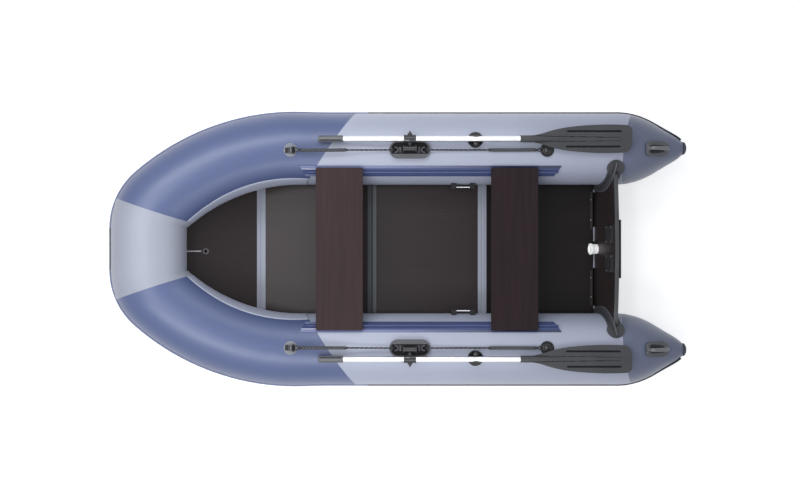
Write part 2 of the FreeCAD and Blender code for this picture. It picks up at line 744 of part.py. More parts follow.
# Transom trim: a channel pressed over the board's top edge
trim_wall = size("trim_wall")
trim_blank = solid("trim_blank", transom_shape(GAP + trim_wall, GAP + trim_wall))
trim_low = solid("trim_low", transom_shape(GAP + 2 * trim_wall, GAP - size("trim_depth")))
trim_top = cut("trim_top", cut("trim_band", trim_blank, trim_low), transom_envelope)
transom_trim = cut("transom_trim", trim_top, clearance)
document.recompute()

# Transom holders: moulded flanges on the tubes, before and behind the board, under a round pad
holder_ring = primitive("Cylinder", "holder_ring", Radius="Sizes.tube_radius + Sizes.holder_wall",
                        Height="Sizes.cut_reach")
place(holder_ring, Vector(-REACH / 2, tube_y, R), ALONG_X)
holder_slab = primitive("Box", "holder_slab", Length="Sizes.transom_thickness + 2 * Sizes.holder_flange",
                        Width="Sizes.tube_radius + Sizes.holder_wall")
holder_slab.Height = (size("transom_corner_height") - size("holder_foot_height")) * along_board
holder_slab.Placement = on_transom(-size("transom_thickness") - size("holder_flange"),
                                   tube_y - R - size("holder_wall"), size("holder_foot_height"))
pad_angle = math.degrees(math.acos((size("transom_corner_height") - R) / R))
corner_x = -transom_foot_x - size("transom_corner_height") * math.tan(math.radians(size("transom_lean")))
pad_x = corner_x - size("transom_thickness") / 2
pad_ring = primitive("Cylinder", "pad_ring", Radius="Sizes.tube_radius + Sizes.holder_pad_wall",
                     Height="Sizes.cut_reach")
place(pad_ring, Vector(-REACH / 2, tube_y, R), ALONG_X)
pad_post = primitive("Cylinder", "pad_post", Radius="Sizes.holder_pad_radius",
                     Height="4 * Sizes.holder_pad_wall")
pad_post.Placement = on_side_tube(pad_x, pad_angle, -2 * size("holder_pad_wall"))
holder_blank = fuse("holder_blank", common("holder_flanges", holder_ring, holder_slab),
                    common("holder_pad", pad_ring, pad_post))
holder_trimmed = cut("holder_trimmed", cut("holder_seat", holder_blank, port_clearance), transom_envelope)
trim_envelope = solid("trim_envelope", transom_shape(2 * GAP + trim_wall, 2 * GAP + trim_wall))
holder_port = cut("holder_port", holder_trimmed, common("trim_zone", trim_envelope, cut(
    "trim_zone_blank", trim_envelope, trim_low)))
transom_holders = group("transom_holders", holder_port, mirrored("holder_starboard", holder_port))

# Motor plates: one wide outside, two narrow ones inside with a gap between them
plate_top = size("transom_middle_height") - size("plate_top_drop")
outer_plate = primitive("Box", "outer_plate", Length="Sizes.outer_plate_thickness",
                        Width="Sizes.outer_plate_width", Height="Sizes.outer_plate_height")
outer_plate.Placement = on_transom(-size("transom_thickness") - size("outer_plate_thickness"),
                                   -size("outer_plate_width") / 2,
                                   plate_top - size("outer_plate_height") / along_board)


def inner_plate(name, middle_y):
    """One of the two plates inside the transom."""
    plate = primitive("Box", name, Length="Sizes.inner_plate_thickness", Width="Sizes.inner_plate_width",
                      Height="Sizes.inner_plate_height")
    plate.Placement = on_transom(0, middle_y - size("inner_plate_width") / 2,
                                 plate_top - size("inner_plate_height") / along_board)
    return plate


motor_plates = group("motor_plates", outer_plate,
                     inner_plate("inner_plate_port", size("inner_plate_spacing") / 2),
                     inner_plate("inner_plate_starboard", -size("inner_plate_spacing") / 2))

# Drain valve: a flanged tube through the transom, flared at its fore end
drain_axis = on_transom(0, 0, size("drain_height")) * Placement(Vector(), ALONG_X)


def drain_disc(name, radius, start, length):
    """A disc or tube on the drain's axis, measured forward from the board's inner face."""
    disc = primitive("Cylinder", name, Radius=radius)
    disc.Height = length
    disc.Placement = drain_axis * Placement(Vector(0, 0, start), Rotation())
    return disc


drain_wall = size("drain_flare") / 2
outer_start = -size("transom_thickness") - GAP - drain_wall
drain_span = size("drain_reach") - outer_start
drain_cone = primitive("Cone", "drain_cone", Radius1="Sizes.drain_body_radius",
                       Radius2="Sizes.drain_flange_radius", Height="Sizes.drain_flare")
flare_start = Vector(0, 0, size("drain_reach") - size("drain_flare"))
drain_cone.Placement = drain_axis * Placement(flare_start, Rotation())
drain_blank = fuse("drain_blank", drain_disc("drain_body", "Sizes.drain_body_radius", outer_start, drain_span),
                   drain_disc("drain_inner_flange", "Sizes.drain_flange_radius", GAP, drain_wall),
                   drain_disc("drain_outer_flange", "Sizes.drain_flange_radius", outer_start, drain_wall),
                   drain_cone)
drain_valve = cut("drain_valve", drain_blank, drain_disc("drain_bore", "Sizes.drain_bore_radius",
                                                         2 * outer_start, 4 * drain_span))
drain_hole = drain_disc("drain_hole", "Sizes.drain_body_radius + Sizes.seat_gap", 2 * outer_start,
                        4 * drain_span)
transom_board = transom
transom_board.Label = "transom_undrilled"
transom = cut("transom_drilled", transom_board, drain_hole)
transom.Label = "transom"

# Seat rails: a glued strip along each tube with a round rib for the benches to run on
rib_distance = R + size("rail_thickness") + size("rib_neck")
rib_spread = math.degrees(math.atan(size("rib_neck_width") / 2 / rib_distance))
rib_turn = math.radians(size("rib_angle"))
rib_centre = Vector(-rib_distance * math.sin(rib_turn), 0, rib_distance * math.cos(rib_turn))
rib_circle = Part.Face(Part.Wire(Part.Circle(rib_centre, AXIS_Y, size("rib_radius")).toShape()))
rail_sections = (sector(R + GAP, R + size("rail_thickness"), size("rail_from_angle"), size("rail_to_angle")),
                 sector(R + size("rail_thickness") / 2, rib_distance, size("rib_angle") - rib_spread,
                        size("rib_angle") + rib_spread), rib_circle)
rail_aft_x = cone_start_x - size("rail_stern_gap")
rail_lengths = [along_side(section, -rail_aft_x, bend_back_x) for section in rail_sections]
rail_lengths += [along_bend(section) for section in rail_sections]
seat_rail_port = solid("seat_rail_port", rail_lengths[0].multiFuse(rail_lengths[1:]).removeSplitter())
seat_rail_starboard = mirrored("seat_rail_starboard", seat_rail_port)


def upright_edges(box):
    """The numbers of a box's four edges that run along its own Z."""
    direction = box.Placement.Rotation.multVec(AXIS_Z)
    return [number for number, edge in enumerate(box.Shape.Edges, start=1)
            if abs(edge.tangentAt(edge.FirstParameter).dot(direction)) > 1 - 1 / REACH]


def rounded_box(name, corner, placement, **sizes):
    """A box whose upright edges are rounded."""
    box = primitive("Box", name + "_box", **sizes)
    box.Placement = placement
    document.recompute()
    fillet = document.addObject("Part::Fillet", name)
    fillet.Base = box
    fillet.Edges = [(number, corner, corner) for number in upright_edges(box)]
    return fillet


# Benches: plywood boards that slide along the rails on grooved tracks
rib_z = R + rib_centre.z
rib_y = tube_y + rib_centre.x
bench_foot = rib_z + size("bench_rise")
bench_half_length = rib_y + size("bench_overhang")
front_bench_x = bend_back_x - size("front_bench_gap")
rear_bench_x = cone_start_x - size("rear_bench_gap")


def bench(name, middle_x):
    """One bench board."""
    corner = Vector(middle_x - size("bench_width") / 2, -bench_half_length, bench_foot)
    return rounded_box(name, size("bench_corner"), Placement(corner, Rotation()), Length="Sizes.bench_width",
                       Width=2 * bench_half_length, Height="Sizes.bench_thickness")


def bench_tracks(name, middle_x):
    """The grooved tracks under a bench's two ends."""
    start = middle_x - size("track_length") / 2
    channel = primitive("Box", name + "_channel", Length="Sizes.track_length", Width="Sizes.track_width",
                        Height="Sizes.rib_neck + Sizes.rib_radius + Sizes.track_wall")
    channel.Placement = on_side_tube(start, size("rib_angle"), size("rail_thickness") + size("track_gap") * 2)
    channel.Placement = channel.Placement * Placement(Vector(0, -size("track_width") / 2, 0), Rotation())
    saddle = primitive("Box", name + "_saddle", Length="Sizes.track_length", Width="Sizes.track_width / 2",
                       Height="Sizes.bench_rise - Sizes.rib_radius / 2 - Sizes.seat_gap")
    place(saddle, Vector(start, rib_y - size("track_width") / 4, rib_z + size("rib_radius") / 2))
    groove = primitive("Cylinder", name + "_groove", Radius="Sizes.rib_radius + Sizes.track_gap",
                       Height="2 * Sizes.track_length")
    place(groove, Vector(start - size("track_length") / 2, rib_y, rib_z), ALONG_X)
    mouth = primitive("Box", name + "_mouth", Length="2 * Sizes.track_length",
                      Width="Sizes.rib_neck_width + 2 * Sizes.track_gap", Height="Sizes.rib_neck")
    mouth.Placement = on_side_tube(start - size("track_length") / 2, size("rib_angle"), size("rail_thickness"))
    mouth_half = size("rib_neck_width") / 2 + size("track_gap")
    mouth.Placement = mouth.Placement * Placement(Vector(0, -mouth_half, 0), Rotation())
    port = cut(name + "_port", fuse(name + "_body", channel, saddle), fuse(name + "_space", groove, mouth))
    return group(name, port, mirrored(name + "_starboard", port))


bench_front = bench("bench_front", front_bench_x)
bench_rear = bench("bench_rear", -rear_bench_x)
bench_front_tracks = bench_tracks("bench_front_tracks", front_bench_x)
bench_rear_tracks = bench_tracks("bench_rear_tracks", -rear_bench_x)


def bent_rod(points, radius, bend):
    """A round rod through points, with tangent arcs at its corners."""
    edges = []
    start = points[0]
    for before, point, after in zip(points, points[1:], points[2:]):
        come = (point - before).normalize()
        leave = (after - point).normalize()
        turn = come.getAngle(leave)
        setback = bend * math.tan(turn / 2)
        first = point - come * setback
        last = point + leave * setback
        inward = (leave - come).normalize()
        middle = point + inward * (bend / math.cos(turn / 2) - bend)
        edges += [Part.makeLine(start, first), Part.Arc(first, middle, last).toShape()]
        start = last
    edges.append(Part.makeLine(start, points[-1]))
    circle = Part.Wire(Part.Circle(points[0], points[1] - points[0], radius).toShape())
    return Part.Wire(edges).makePipeShell([circle], True, False)


def from_frame(frame, *places):
    """Points given along a frame's own axes."""
    return [frame.multVec(Vector(*place_in_frame)) for place_in_frame in places]


# Oarlock bases: a long moulded pad on the tube with a raised lip, two lugs and two rope ears
oarlock_frame = on_side_tube(-oarlock_x, size("oarlock_angle"), 0)


def local(item, frame, x, y, z, turn=Rotation()):
    """Place a piece along a frame's own axes."""
    item.Placement = frame * Placement(Vector(x, y, z), turn)
    return item


pad_drop = Vector(-size("pad_length") / 2, -size("pad_width") / 2, -size("pad_height"))
pad_block = rounded_box("pad_block", size("pad_width") / 2 - GAP,
                        oarlock_frame * Placement(pad_drop, Rotation()),
                        Length="Sizes.pad_length", Width="Sizes.pad_width", Height="2 * Sizes.pad_height")
recess_start = Vector(size("pad_lip") - size("pad_length") / 2, size("pad_lip") - size("pad_width") / 2,
                      size("pad_height") - size("pad_recess"))
pad_recess = rounded_box("pad_recess_block", size("pad_width") / 2 - size("pad_lip") - GAP,
                         oarlock_frame * Placement(recess_start, Rotation()),
                         Length="Sizes.pad_length - 2 * Sizes.pad_lip",
                         Width="Sizes.pad_width - 2 * Sizes.pad_lip", Height="Sizes.pad_height")
pad_floor = size("pad_height") - size("pad_recess")
hinge_height = size("pad_height") + size("barrel_radius") + size("hinge_lift")
hinge_frame = oarlock_frame * Placement(Vector(0, size("hinge_shift"), hinge_height), Rotation())
hinge_level = Placement(hinge_frame.Base, Rotation())
lug_gap = size("barrel_length") / 2 + size("pin_gap")


def lug(name, start):
    """One of the two lugs that hold the hinge pin."""
    plate = primitive("Box", name + "_plate", Length="Sizes.lug_thickness", Width="2 * Sizes.lug_radius")
    plate.Height = hinge_height - pad_floor
    local(plate, hinge_frame, start, -size("lug_radius"), pad_floor - hinge_height)
    head = primitive("Cylinder", name + "_head", Radius="Sizes.lug_radius", Height="Sizes.lug_thickness")
    local(head, hinge_frame, start, 0, 0, ALONG_X)
    return fuse(name, plate, head)


def rope_ear(name, x):
    """A moulded loop at one end of the pad, for the lifeline."""
    ring = primitive("Torus", name, Radius1="Sizes.ear_radius", Radius2="Sizes.ear_wire")
    return local(ring, oarlock_frame, x, 0, size("pad_height"), ALONG_X)


hinge_pin = primitive("Cylinder", "hinge_pin", Radius="Sizes.hinge_pin_radius")
hinge_pin.Height = 2 * (lug_gap + size("lug_thickness"))
local(hinge_pin, hinge_frame, -lug_gap - size("lug_thickness"), 0, 0, ALONG_X)
base_parts = fuse("base_parts", cut("pad_dish", pad_block, pad_recess), lug("fore_lug", lug_gap),
                  lug("aft_lug", -lug_gap - size("lug_thickness")), hinge_pin,
                  rope_ear("fore_ear", size("ear_x")), rope_ear("aft_ear", -size("ear_x")))
oarlock_base_port = cut("oarlock_base_port", base_parts, port_clearance)
oarlock_base_starboard = mirrored("oarlock_base_starboard", oarlock_base_port)

# Oarlock pin: a barrel on the hinge with a pin through the oar's collar, held by a knob.
# In the pin's frame +Z runs along the pin, away from the hinge, and +X along the boat.
ELEVATION = size("pin_elevation")
pin_frame = hinge_level * Placement(Vector(), Rotation(AXIS_X, ELEVATION - 90))
barrel = primitive("Cylinder", "barrel", Radius="Sizes.barrel_radius", Height="Sizes.barrel_length")
local(barrel, pin_frame, -size("barrel_length") / 2, 0, 0, ALONG_X)
pin_rod = primitive("Cylinder", "pin_rod", Radius="Sizes.pin_radius", Height="Sizes.pin_length")
local(pin_rod, pin_frame, 0, 0, 0)
knob = primitive("Cone", "knob", Radius1="Sizes.knob_radius", Radius2="Sizes.knob_radius / 3",
                 Height="Sizes.knob_length")
local(knob, pin_frame, 0, 0, size("pin_length") - size("knob_length") / 2)
barrel_bore = primitive("Cylinder", "barrel_bore", Radius="Sizes.hinge_pin_radius + Sizes.pin_gap",
                        Height="2 * Sizes.barrel_length")
local(barrel_bore, pin_frame, -size("barrel_length"), 0, 0, ALONG_X)
oarlock_pin_port = cut("oarlock_pin_port", fuse("pin_body", barrel, pin_rod, knob), barrel_bore)
oarlock_pin_starboard = mirrored("oarlock_pin_starboard", oarlock_pin_port)

# Oar: in its frame +X runs along the boat, +Z along the pin and -Y is the blade's upper face
oar_frame = pin_frame * Placement(Vector(0, 0, size("collar_distance")), Rotation())


def along_oar(name, from_x, to_x, radius):
    """A round stretch on the oar's axis, between two places forward of its pin."""
    rod = primitive("Cylinder", name, Radius=radius)
    rod.Height = to_x - from_x
    return local(rod, oar_frame, from_x, 0, 0, ALONG_X)


pin_hole = primitive("Cylinder", "pin_hole", Radius="Sizes.pin_radius + Sizes.seat_gap",
                     Height="4 * Sizes.collar_distance")
local(pin_hole, oar_frame, 0, 0, -2 * size("collar_distance"))
shaft_aft_reach = size("blade_fore_reach") + size("shaft_in_blade")
shaft_whole = along_oar("shaft_whole", -shaft_aft_reach, size("shaft_fore_reach"), "Sizes.shaft_radius")
oar_shaft_port = cut("oar_shaft_port", shaft_whole, pin_hole)
shaft_envelope = along_oar("shaft_envelope", -shaft_aft_reach - GAP, size("shaft_fore_reach") + GAP,
                           "Sizes.shaft_radius + Sizes.seat_gap")

collar_half = size("collar_length") / 2
collar_tube = along_oar("collar_tube", -collar_half, collar_half, "Sizes.collar_radius")
boss = primitive("Cylinder", "boss", Radius="Sizes.boss_radius", Height="Sizes.boss_length")
local(boss, oar_frame, 0, 0, -size("boss_length") / 2)
oar_collar_port = cut("oar_collar_port", cut("collar_sleeve", fuse("collar_body", collar_tube, boss), pin_hole),
                      shaft_envelope)

grip_whole = along_oar("grip_whole", size("grip_aft_reach"), size("grip_fore_reach"), "Sizes.grip_radius")
grip_round = document.addObject("Part::Fillet", "grip_round")
grip_round.Base = grip_whole
document.recompute()
grip_round.Edges = [(number, size("grip_rounding"), size("grip_rounding"))
                    for number, edge in enumerate(grip_whole.Shape.Edges, start=1) if edge.isClosed()
                    and abs(edge.CenterOfMass.x - edge.valueAt(edge.FirstParameter).x) < GAP]
oar_grip_port = cut("oar_grip_port", grip_round, shaft_envelope)

# Blade: a flat spoon outline with a sleeve that fades into a spine, and two long grooves
BLADE_LENGTH_SHARES = (0, 0.12, 0.21, 0.3, 0.44, 0.6, 0.76, 0.9)
BLADE_WIDTH_SHARES = (0.2, 0.24, 0.42, 0.63, 0.84, 0.95, 1, 0.98)
blade_start = -size("blade_fore_reach")
half_width = size("blade_half_width")
upper_line = [Vector(blade_start - size("blade_length") * along, 0, half_width * wide)
              for along, wide in zip(BLADE_LENGTH_SHARES, BLADE_WIDTH_SHARES)]
lower_line = [Vector(point.x, 0, -point.z) for point in upper_line]
tip_x = blade_start - size("blade_length")
tip_upper = Vector(tip_x, 0, half_width * size("blade_tip_width_share"))
tip_lower = Vector(tip_x, 0, -half_width * size("blade_tip_width_share"))
corner_middle = Vector(tip_x + size("blade_length") * size("blade_corner_length_share"), 0,
                       half_width * size("blade_corner_width_share"))


def spline(points):
    """A smooth edge through points."""
    curve = Part.BSplineCurve()
    curve.interpolate(points)
    return curve.toShape()


blade_edges = [spline(upper_line), Part.Arc(upper_line[-1], corner_middle, tip_upper).toShape(),
               Part.makeLine(tip_upper, tip_lower),
               Part.Arc(tip_lower, Vector(corner_middle.x, 0, -corner_middle.z), lower_line[-1]).toShape(),
               spline(lower_line), Part.makeLine(lower_line[0], upper_line[0])]
blade_face = Part.Face(Part.Wire(Part.__sortEdges__(blade_edges)))
blade_half = size("blade_thickness") / 2
blade_plate = solid("blade_plate", placed(blade_face, oar_frame * Placement(
    Vector(0, -blade_half, 0), Rotation())).extrude(oar_frame.Rotation.multVec(AXIS_Y) * 2 * blade_half))
blade_sleeve = along_oar("blade_sleeve", blade_start - size("blade_sleeve_length"), blade_start,
                         "Sizes.blade_sleeve_radius")
blade_spine = primitive("Cone", "blade_spine", Radius1="Sizes.blade_spine_radius",
                        Radius2="Sizes.blade_sleeve_radius",
                        Height="Sizes.blade_length - Sizes.blade_sleeve_length - Sizes.blade_half_width / 2")
local(blade_spine, oar_frame, tip_x + half_width / 2, 0, 0, ALONG_X)


def groove(name, side, face):
    """One long groove in one face of the blade."""
    slot = primitive("Box", name, Length="Sizes.groove_length", Width="2 * Sizes.groove_depth",
                     Height="Sizes.groove_width")
    return local(slot, oar_frame, tip_x + size("groove_end_gap"), face * blade_half - size("groove_depth"),
                 side * size("groove_offset") - size("groove_width") / 2)


grooves = fuse("grooves", *[groove("groove_%d_%d" % (side + 1, face + 1), side, face)
                            for side in (-1, 1) for face in (-1, 1)])
blade_body = fuse("blade_body", blade_plate, blade_sleeve, blade_spine)
oar_blade_port = cut("oar_blade_port", cut("blade_hollow", blade_body, shaft_envelope), grooves)
oar_shaft_starboard = mirrored("oar_shaft_starboard", oar_shaft_port)
oar_collar_starboard = mirrored("oar_collar_starboard", oar_collar_port)
oar_grip_starboard = mirrored("oar_grip_starboard", oar_grip_port)
oar_blade_starboard = mirrored("oar_blade_starboard", oar_blade_port)

# Oar clips: a disc on the tube and a post with a cradle, open the way the oar lifts out
clip_disc = primitive("Cylinder", "clip_disc", Radius="Sizes.clip_disc_radius",
                      Height="3 * Sizes.clip_disc_height")
clip_x = oarlock_x + size("clip_reach")
clip_frame = on_side_tube(-clip_x, size("clip_angle"), 0)
local(clip_disc, clip_frame, 0, 0, -2 * size("clip_disc_height"))
cradle_x = -size("clip_reach")
cradle_radius = size("shaft_radius") + size("clip_gap") + size("clip_wall")
cradle = primitive("Cylinder", "cradle", Height="Sizes.clip_length")
cradle.Radius = cradle_radius
local(cradle, oar_frame, cradle_x - size("clip_length") / 2, 0, 0, ALONG_X)
cradle_bore = primitive("Cylinder", "cradle_bore", Radius="Sizes.shaft_radius + Sizes.clip_gap",
                        Height="2 * Sizes.clip_length")
local(cradle_bore, oar_frame, cradle_x - size("clip_length"), 0, 0, ALONG_X)
cradle_mouth = primitive("Box", "cradle_mouth", Length="2 * Sizes.clip_length", Width="Sizes.cut_reach",
                         Height="2 * (Sizes.shaft_radius + Sizes.clip_arm_gap)")
mouth_half = size("shaft_radius") + size("clip_arm_gap")
local(cradle_mouth, oar_frame, cradle_x - size("clip_length"), -REACH, -mouth_half)
cradle_top = primitive("Box", "cradle_top", Length="2 * Sizes.clip_length", Width="Sizes.cut_reach",
                       Height="Sizes.cut_reach")
local(cradle_top, oar_frame, cradle_x - size("clip_length"), -REACH - size("clip_arm_height"), -REACH / 2)
cradle_open = cut("cradle_open", cradle, fuse("cradle_space", cradle_bore, cradle_mouth, cradle_top))
clip_post = primitive("Cylinder", "clip_post", Radius="Sizes.clip_post_radius")
clip_post.Height = oar_frame.Base.z - R * 2
place(clip_post, Vector(-clip_x, oar_frame.Base.y, R * 2 - size("clip_disc_height")))
post_trim = cut("post_trim", clip_post, cradle_bore)
port_clip = cut("port_clip", fuse("clip_body", clip_disc, cradle_open, post_trim), port_clearance)
oar_clips = group("oar_clips", port_clip, mirrored("starboard_clip", port_clip))


def rope_eye(name, frame):
    """A glued round patch with a half loop across the boat's length."""
    patch = primitive("Cylinder", name + "_patch", Radius="Sizes.eye_patch_radius")
    patch.Height = size("eye_patch_height") + size("eye_patch_radius") / 2
    local(patch, frame, 0, 0, -size("eye_patch_radius") / 2)
    loop = primitive("Torus", name + "_loop", Radius1="Sizes.eye_loop_radius", Radius2="Sizes.eye_wire")
    local(loop, frame, 0, 0, size("eye_patch_height"), ALONG_X)
    return fuse(name + "_body", patch, loop)


# Rope eyes at both ends of each lifeline, and a towing eye under the nose
fore_eye_frame = on_bow_tube(size("fore_eye_share"), size("eye_angle"), 0)
aft_eye_frame = on_side_tube(size("aft_eye_gap") - cone_start_x, size("eye_angle"), 0)
port_fore_eye = cut("port_fore_eye", rope_eye("fore_eye", fore_eye_frame), port_clearance)
port_aft_eye = cut("port_aft_eye", rope_eye("aft_eye", aft_eye_frame), port_clearance)
fore_rope_eyes = group("fore_rope_eyes", port_fore_eye, mirrored("starboard_fore_eye", port_fore_eye))
aft_rope_eyes = group("aft_rope_eyes", port_aft_eye, mirrored("starboard_aft_eye", port_aft_eye))
towing_frame = NOSE * Placement(Vector(), Rotation(AXIS_Y, 90 + size("towing_angle"))) * Placement(
    Vector(0, 0, R), Rotation())
towing_eye = cut("towing_eye", rope_eye("towing", towing_frame * Placement(Vector(), Rotation(AXIS_Z, 90))),
                 clearance)

# Lifelines: a rope from the fore eye to the oarlock's fore ear, and one from its aft ear to the aft eye
ear_reach = size("ear_wire") + size("rope_knot_radius") + GAP
eye_reach = size("eye_wire") + size("rope_knot_radius") + GAP
ear_height = size("pad_height") + size("rope_radius") + 4 * GAP
eye_height = size("eye_patch_height") + size("rope_knot_radius") + GAP


def knotted_rope(name, first, last):
    """A rope that sags between two knots."""
    middle = (first + last) * 0.5 - AXIS_Z * size("rope_sag")
    rope = bent_rod([first, middle, last], size("rope_radius"), (last - first).Length)
    knots = [Part.makeSphere(size("rope_knot_radius"), point) for point in (first, last)]
    return rope.multiFuse(knots)


fore_ends = (fore_eye_frame.multVec(Vector(eye_reach, 0, eye_height)),
             oarlock_frame.multVec(Vector(size("ear_x") - ear_reach, 0, ear_height)))
aft_ends = (oarlock_frame.multVec(Vector(ear_reach - size("ear_x"), 0, ear_height)),
            aft_eye_frame.multVec(Vector(-eye_reach, 0, eye_height)))
lifeline_port = group("lifeline_port", solid("fore_rope", knotted_rope("fore", *fore_ends)),
                      solid("aft_rope", knotted_rope("aft", *aft_ends)))
lifeline_starboard = mirrored("lifeline_starboard", lifeline_port)

# Stern handles: a moulded base on each cone with a bar to lift the boat by
handle_share = size("handle_reach") / cone_length
handle_crown = cone_section(handle_share).z + R * (1 - handle_share * handle_share * size("handle_crown_share"))
handle_spot = Vector(-cone_start_x - size("handle_reach"), tube_y - size("handle_inset"), handle_crown)
handle_frame = Placement(handle_spot, Rotation(AXIS_Y, -size("handle_slope")))
pad_half_width = size("handle_pad_width") / 2
handle_drop = Vector(-size("handle_pad_length") / 2, -pad_half_width, -pad_half_width)
handle_prism = rounded_box("handle_prism", size("handle_pad_corner"),
                           handle_frame * Placement(handle_drop, Rotation()), Length="Sizes.handle_pad_length",
                           Width="Sizes.handle_pad_width", Height="Sizes.handle_pad_width")
pad_skin = solid("pad_skin", cone_shape(size("handle_pad_height")))
handle_pad = common("handle_pad", handle_prism, pad_skin)
span = size("handle_span") / 2
handle_line = from_frame(handle_frame, (-span, 0, -size("handle_height")), (-span, 0, size("handle_height")),
                         (span, 0, size("handle_height")), (span, 0, -size("handle_height")))
handle_bar = solid("handle_bar", bent_rod(handle_line, size("handle_bar_radius"), size("handle_bend")))
port_handle = cut("port_handle", fuse("handle_body", handle_pad, handle_bar), port_clearance)
stern_handles = group("stern_handles", port_handle, mirrored("starboard_handle", port_handle))

# Side grips: a metal rod beside each tube's inner face, held by a moulded mount at each end
grip_y = tube_y - R - size("side_grip_reach")
mount_half = size("side_grip_mount_length") / 2
side_grip_fore_x = oarlock_x + size("side_grip_lead")
side_grip_aft_x = side_grip_fore_x + size("side_grip_span")


def grip_mount(name, x):
    """One moulded mount, from the tube's face to just past the rod."""
    block = rounded_box(name, mount_half / 2, Placement(
        Vector(-x - mount_half, grip_y - 2 * size("side_grip_radius"),
               size("side_grip_height") - size("side_grip_mount_height") / 2), Rotation()),
        Length="Sizes.side_grip_mount_length", Width="4 * Sizes.side_grip_reach",
        Height="Sizes.side_grip_mount_height")
    return block


grip_rod = primitive("Cylinder", "grip_rod", Radius="Sizes.side_grip_radius",
                     Height="Sizes.side_grip_span")
place(grip_rod, Vector(-side_grip_aft_x, grip_y, size("side_grip_height")), ALONG_X)
side_grip_rods = group("side_grip_rods", grip_rod, mirrored("starboard_rod", grip_rod))
rod_hole = primitive("Cylinder", "rod_hole", Radius="Sizes.side_grip_radius + Sizes.seat_gap",
                     Height="Sizes.side_grip_span + 2 * Sizes.seat_gap")
place(rod_hole, Vector(-side_grip_aft_x - GAP, grip_y, size("side_grip_height")), ALONG_X)
mount_tools = fuse("mount_tools", rod_hole, port_clearance)
port_mounts = [cut("port_mount_" + end, grip_mount("mount_" + end, x), mount_tools)
               for end, x in (("fore", side_grip_fore_x), ("aft", side_grip_aft_x))]
side_grip_mounts = group("side_grip_mounts", *port_mounts,
                         *[mirrored("starboard_" + mount.Name, mount) for mount in port_mounts])

# Every node of the boat, each with the name of its file
NODES = {
    "bow_tube": bow_tube,
    "shoulder_tube_port": shoulder_tube_port,
    "shoulder_tube_starboard": shoulder_tube_starboard,
    "side_tube_port": side_tube_port,
    "side_tube_starboard": side_tube_starboard,
    "stern_cone_port": stern_cone_port,
    "stern_cone_starboard": stern_cone_starboard,
    "cone_caps": cone_caps,
    "rub_strake_bow": rub_strake_bow,
    "rub_strake_port": rub_strake_port,
    "rub_strake_starboard": rub_strake_starboard,
    "bottom_skin": bottom_skin,
    "keel_tube": keel_tube,
    "floor_panel_stern": floor_panel_stern,
    "floor_panel_middle": floor_panel_middle,
    "floor_panel_fore": floor_panel_fore,
    "floor_panel_bow": floor_panel_bow,
    "floor_hinge_strips": floor_hinge_strips,
    "floor_joiner": floor_joiner,
    "keel_valve": keel_valve,
    "transom": transom,
    "transom_trim": transom_trim,
    "transom_holders": transom_holders,
    "motor_plates": motor_plates,
    "drain_valve": drain_valve,
    "seat_rail_port": seat_rail_port,
    "seat_rail_starboard": seat_rail_starboard,
    "bench_front": bench_front,
    "bench_rear": bench_rear,
    "bench_front_tracks": bench_front_tracks,
    "bench_rear_tracks": bench_rear_tracks,
    "fore_rope_eyes": fore_rope_eyes,
    "aft_rope_eyes": aft_rope_eyes,
    "lifeline_port": lifeline_port,
    "lifeline_starboard": lifeline_starboard,
    "oarlock_base_port": oarlock_base_port,
    "oarlock_base_starboard": oarlock_base_starboard,
    "oarlock_pin_port": oarlock_pin_port,
    "oarlock_pin_starboard": oarlock_pin_starboard,
    "oar_shaft_port": oar_shaft_port,
    "oar_shaft_starboard": oar_shaft_starboard,
    "oar_collar_port": oar_collar_port,
    "oar_collar_starboard": oar_collar_starboard,
    "oar_grip_port": oar_grip_port,
    "oar_grip_starboard": oar_grip_starboard,
    "oar_blade_port": oar_blade_port,
    "oar_blade_starboard": oar_blade_starboard,
    "oar_clips": oar_clips,
    "stern_handles": stern_handles,
    "side_grip_rods": side_grip_rods,
    "side_grip_mounts": side_grip_mounts,
    "towing_eye": towing_eye,
}

document.recompute()
for item in document.Objects:
    if "Invalid" in item.State or "Error" in item.State:
        raise RuntimeError("%s did not build: %s" % (item.Name, item.State))
for node, item in NODES.items():
    item.Label = node
    if item.Shape.isNull() or not item.Shape.isValid():
        raise RuntimeError("%s has no valid shape" % node)
for node, item in NODES.items():
    item.Shape.exportStep("parts/" + node + ".step")
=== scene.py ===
import math

import bmesh
import bpy
from mathutils import Matrix, Vector


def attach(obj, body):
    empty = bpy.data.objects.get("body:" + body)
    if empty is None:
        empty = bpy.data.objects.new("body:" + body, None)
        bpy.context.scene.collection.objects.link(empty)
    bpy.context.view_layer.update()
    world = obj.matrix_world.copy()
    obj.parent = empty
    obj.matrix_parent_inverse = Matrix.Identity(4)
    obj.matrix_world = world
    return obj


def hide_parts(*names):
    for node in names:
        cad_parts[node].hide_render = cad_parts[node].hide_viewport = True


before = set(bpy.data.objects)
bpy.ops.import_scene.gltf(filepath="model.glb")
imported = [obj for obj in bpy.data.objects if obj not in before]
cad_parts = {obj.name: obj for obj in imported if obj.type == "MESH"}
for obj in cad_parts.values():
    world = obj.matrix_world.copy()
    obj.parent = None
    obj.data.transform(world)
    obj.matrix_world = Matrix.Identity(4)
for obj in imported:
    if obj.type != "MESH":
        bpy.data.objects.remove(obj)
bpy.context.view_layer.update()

# Studio: a plain pale floor under an even sky and four large soft lamps, and a camera that hangs
# straight over the boat with the bow to the left, as the photograph was taken.
CAMERA_HEIGHT = 5.8
CAMERA_SPOT = (0.021, 0.0057)
FRAME_WIDTH = 800
FOCAL_PIXELS = 979.4
SENSOR_WIDTH = 36
SKY_LIGHT = (236, 240, 248)
SKY_STRENGTH = 0.42
SKY_SEEN = (250, 251, 255)
SKY_SEEN_STRENGTH = 0.8
FLOOR_REACH = 12
FLOOR_WHITE = (232, 232, 232)
FLOOR_GLOW = 0.6
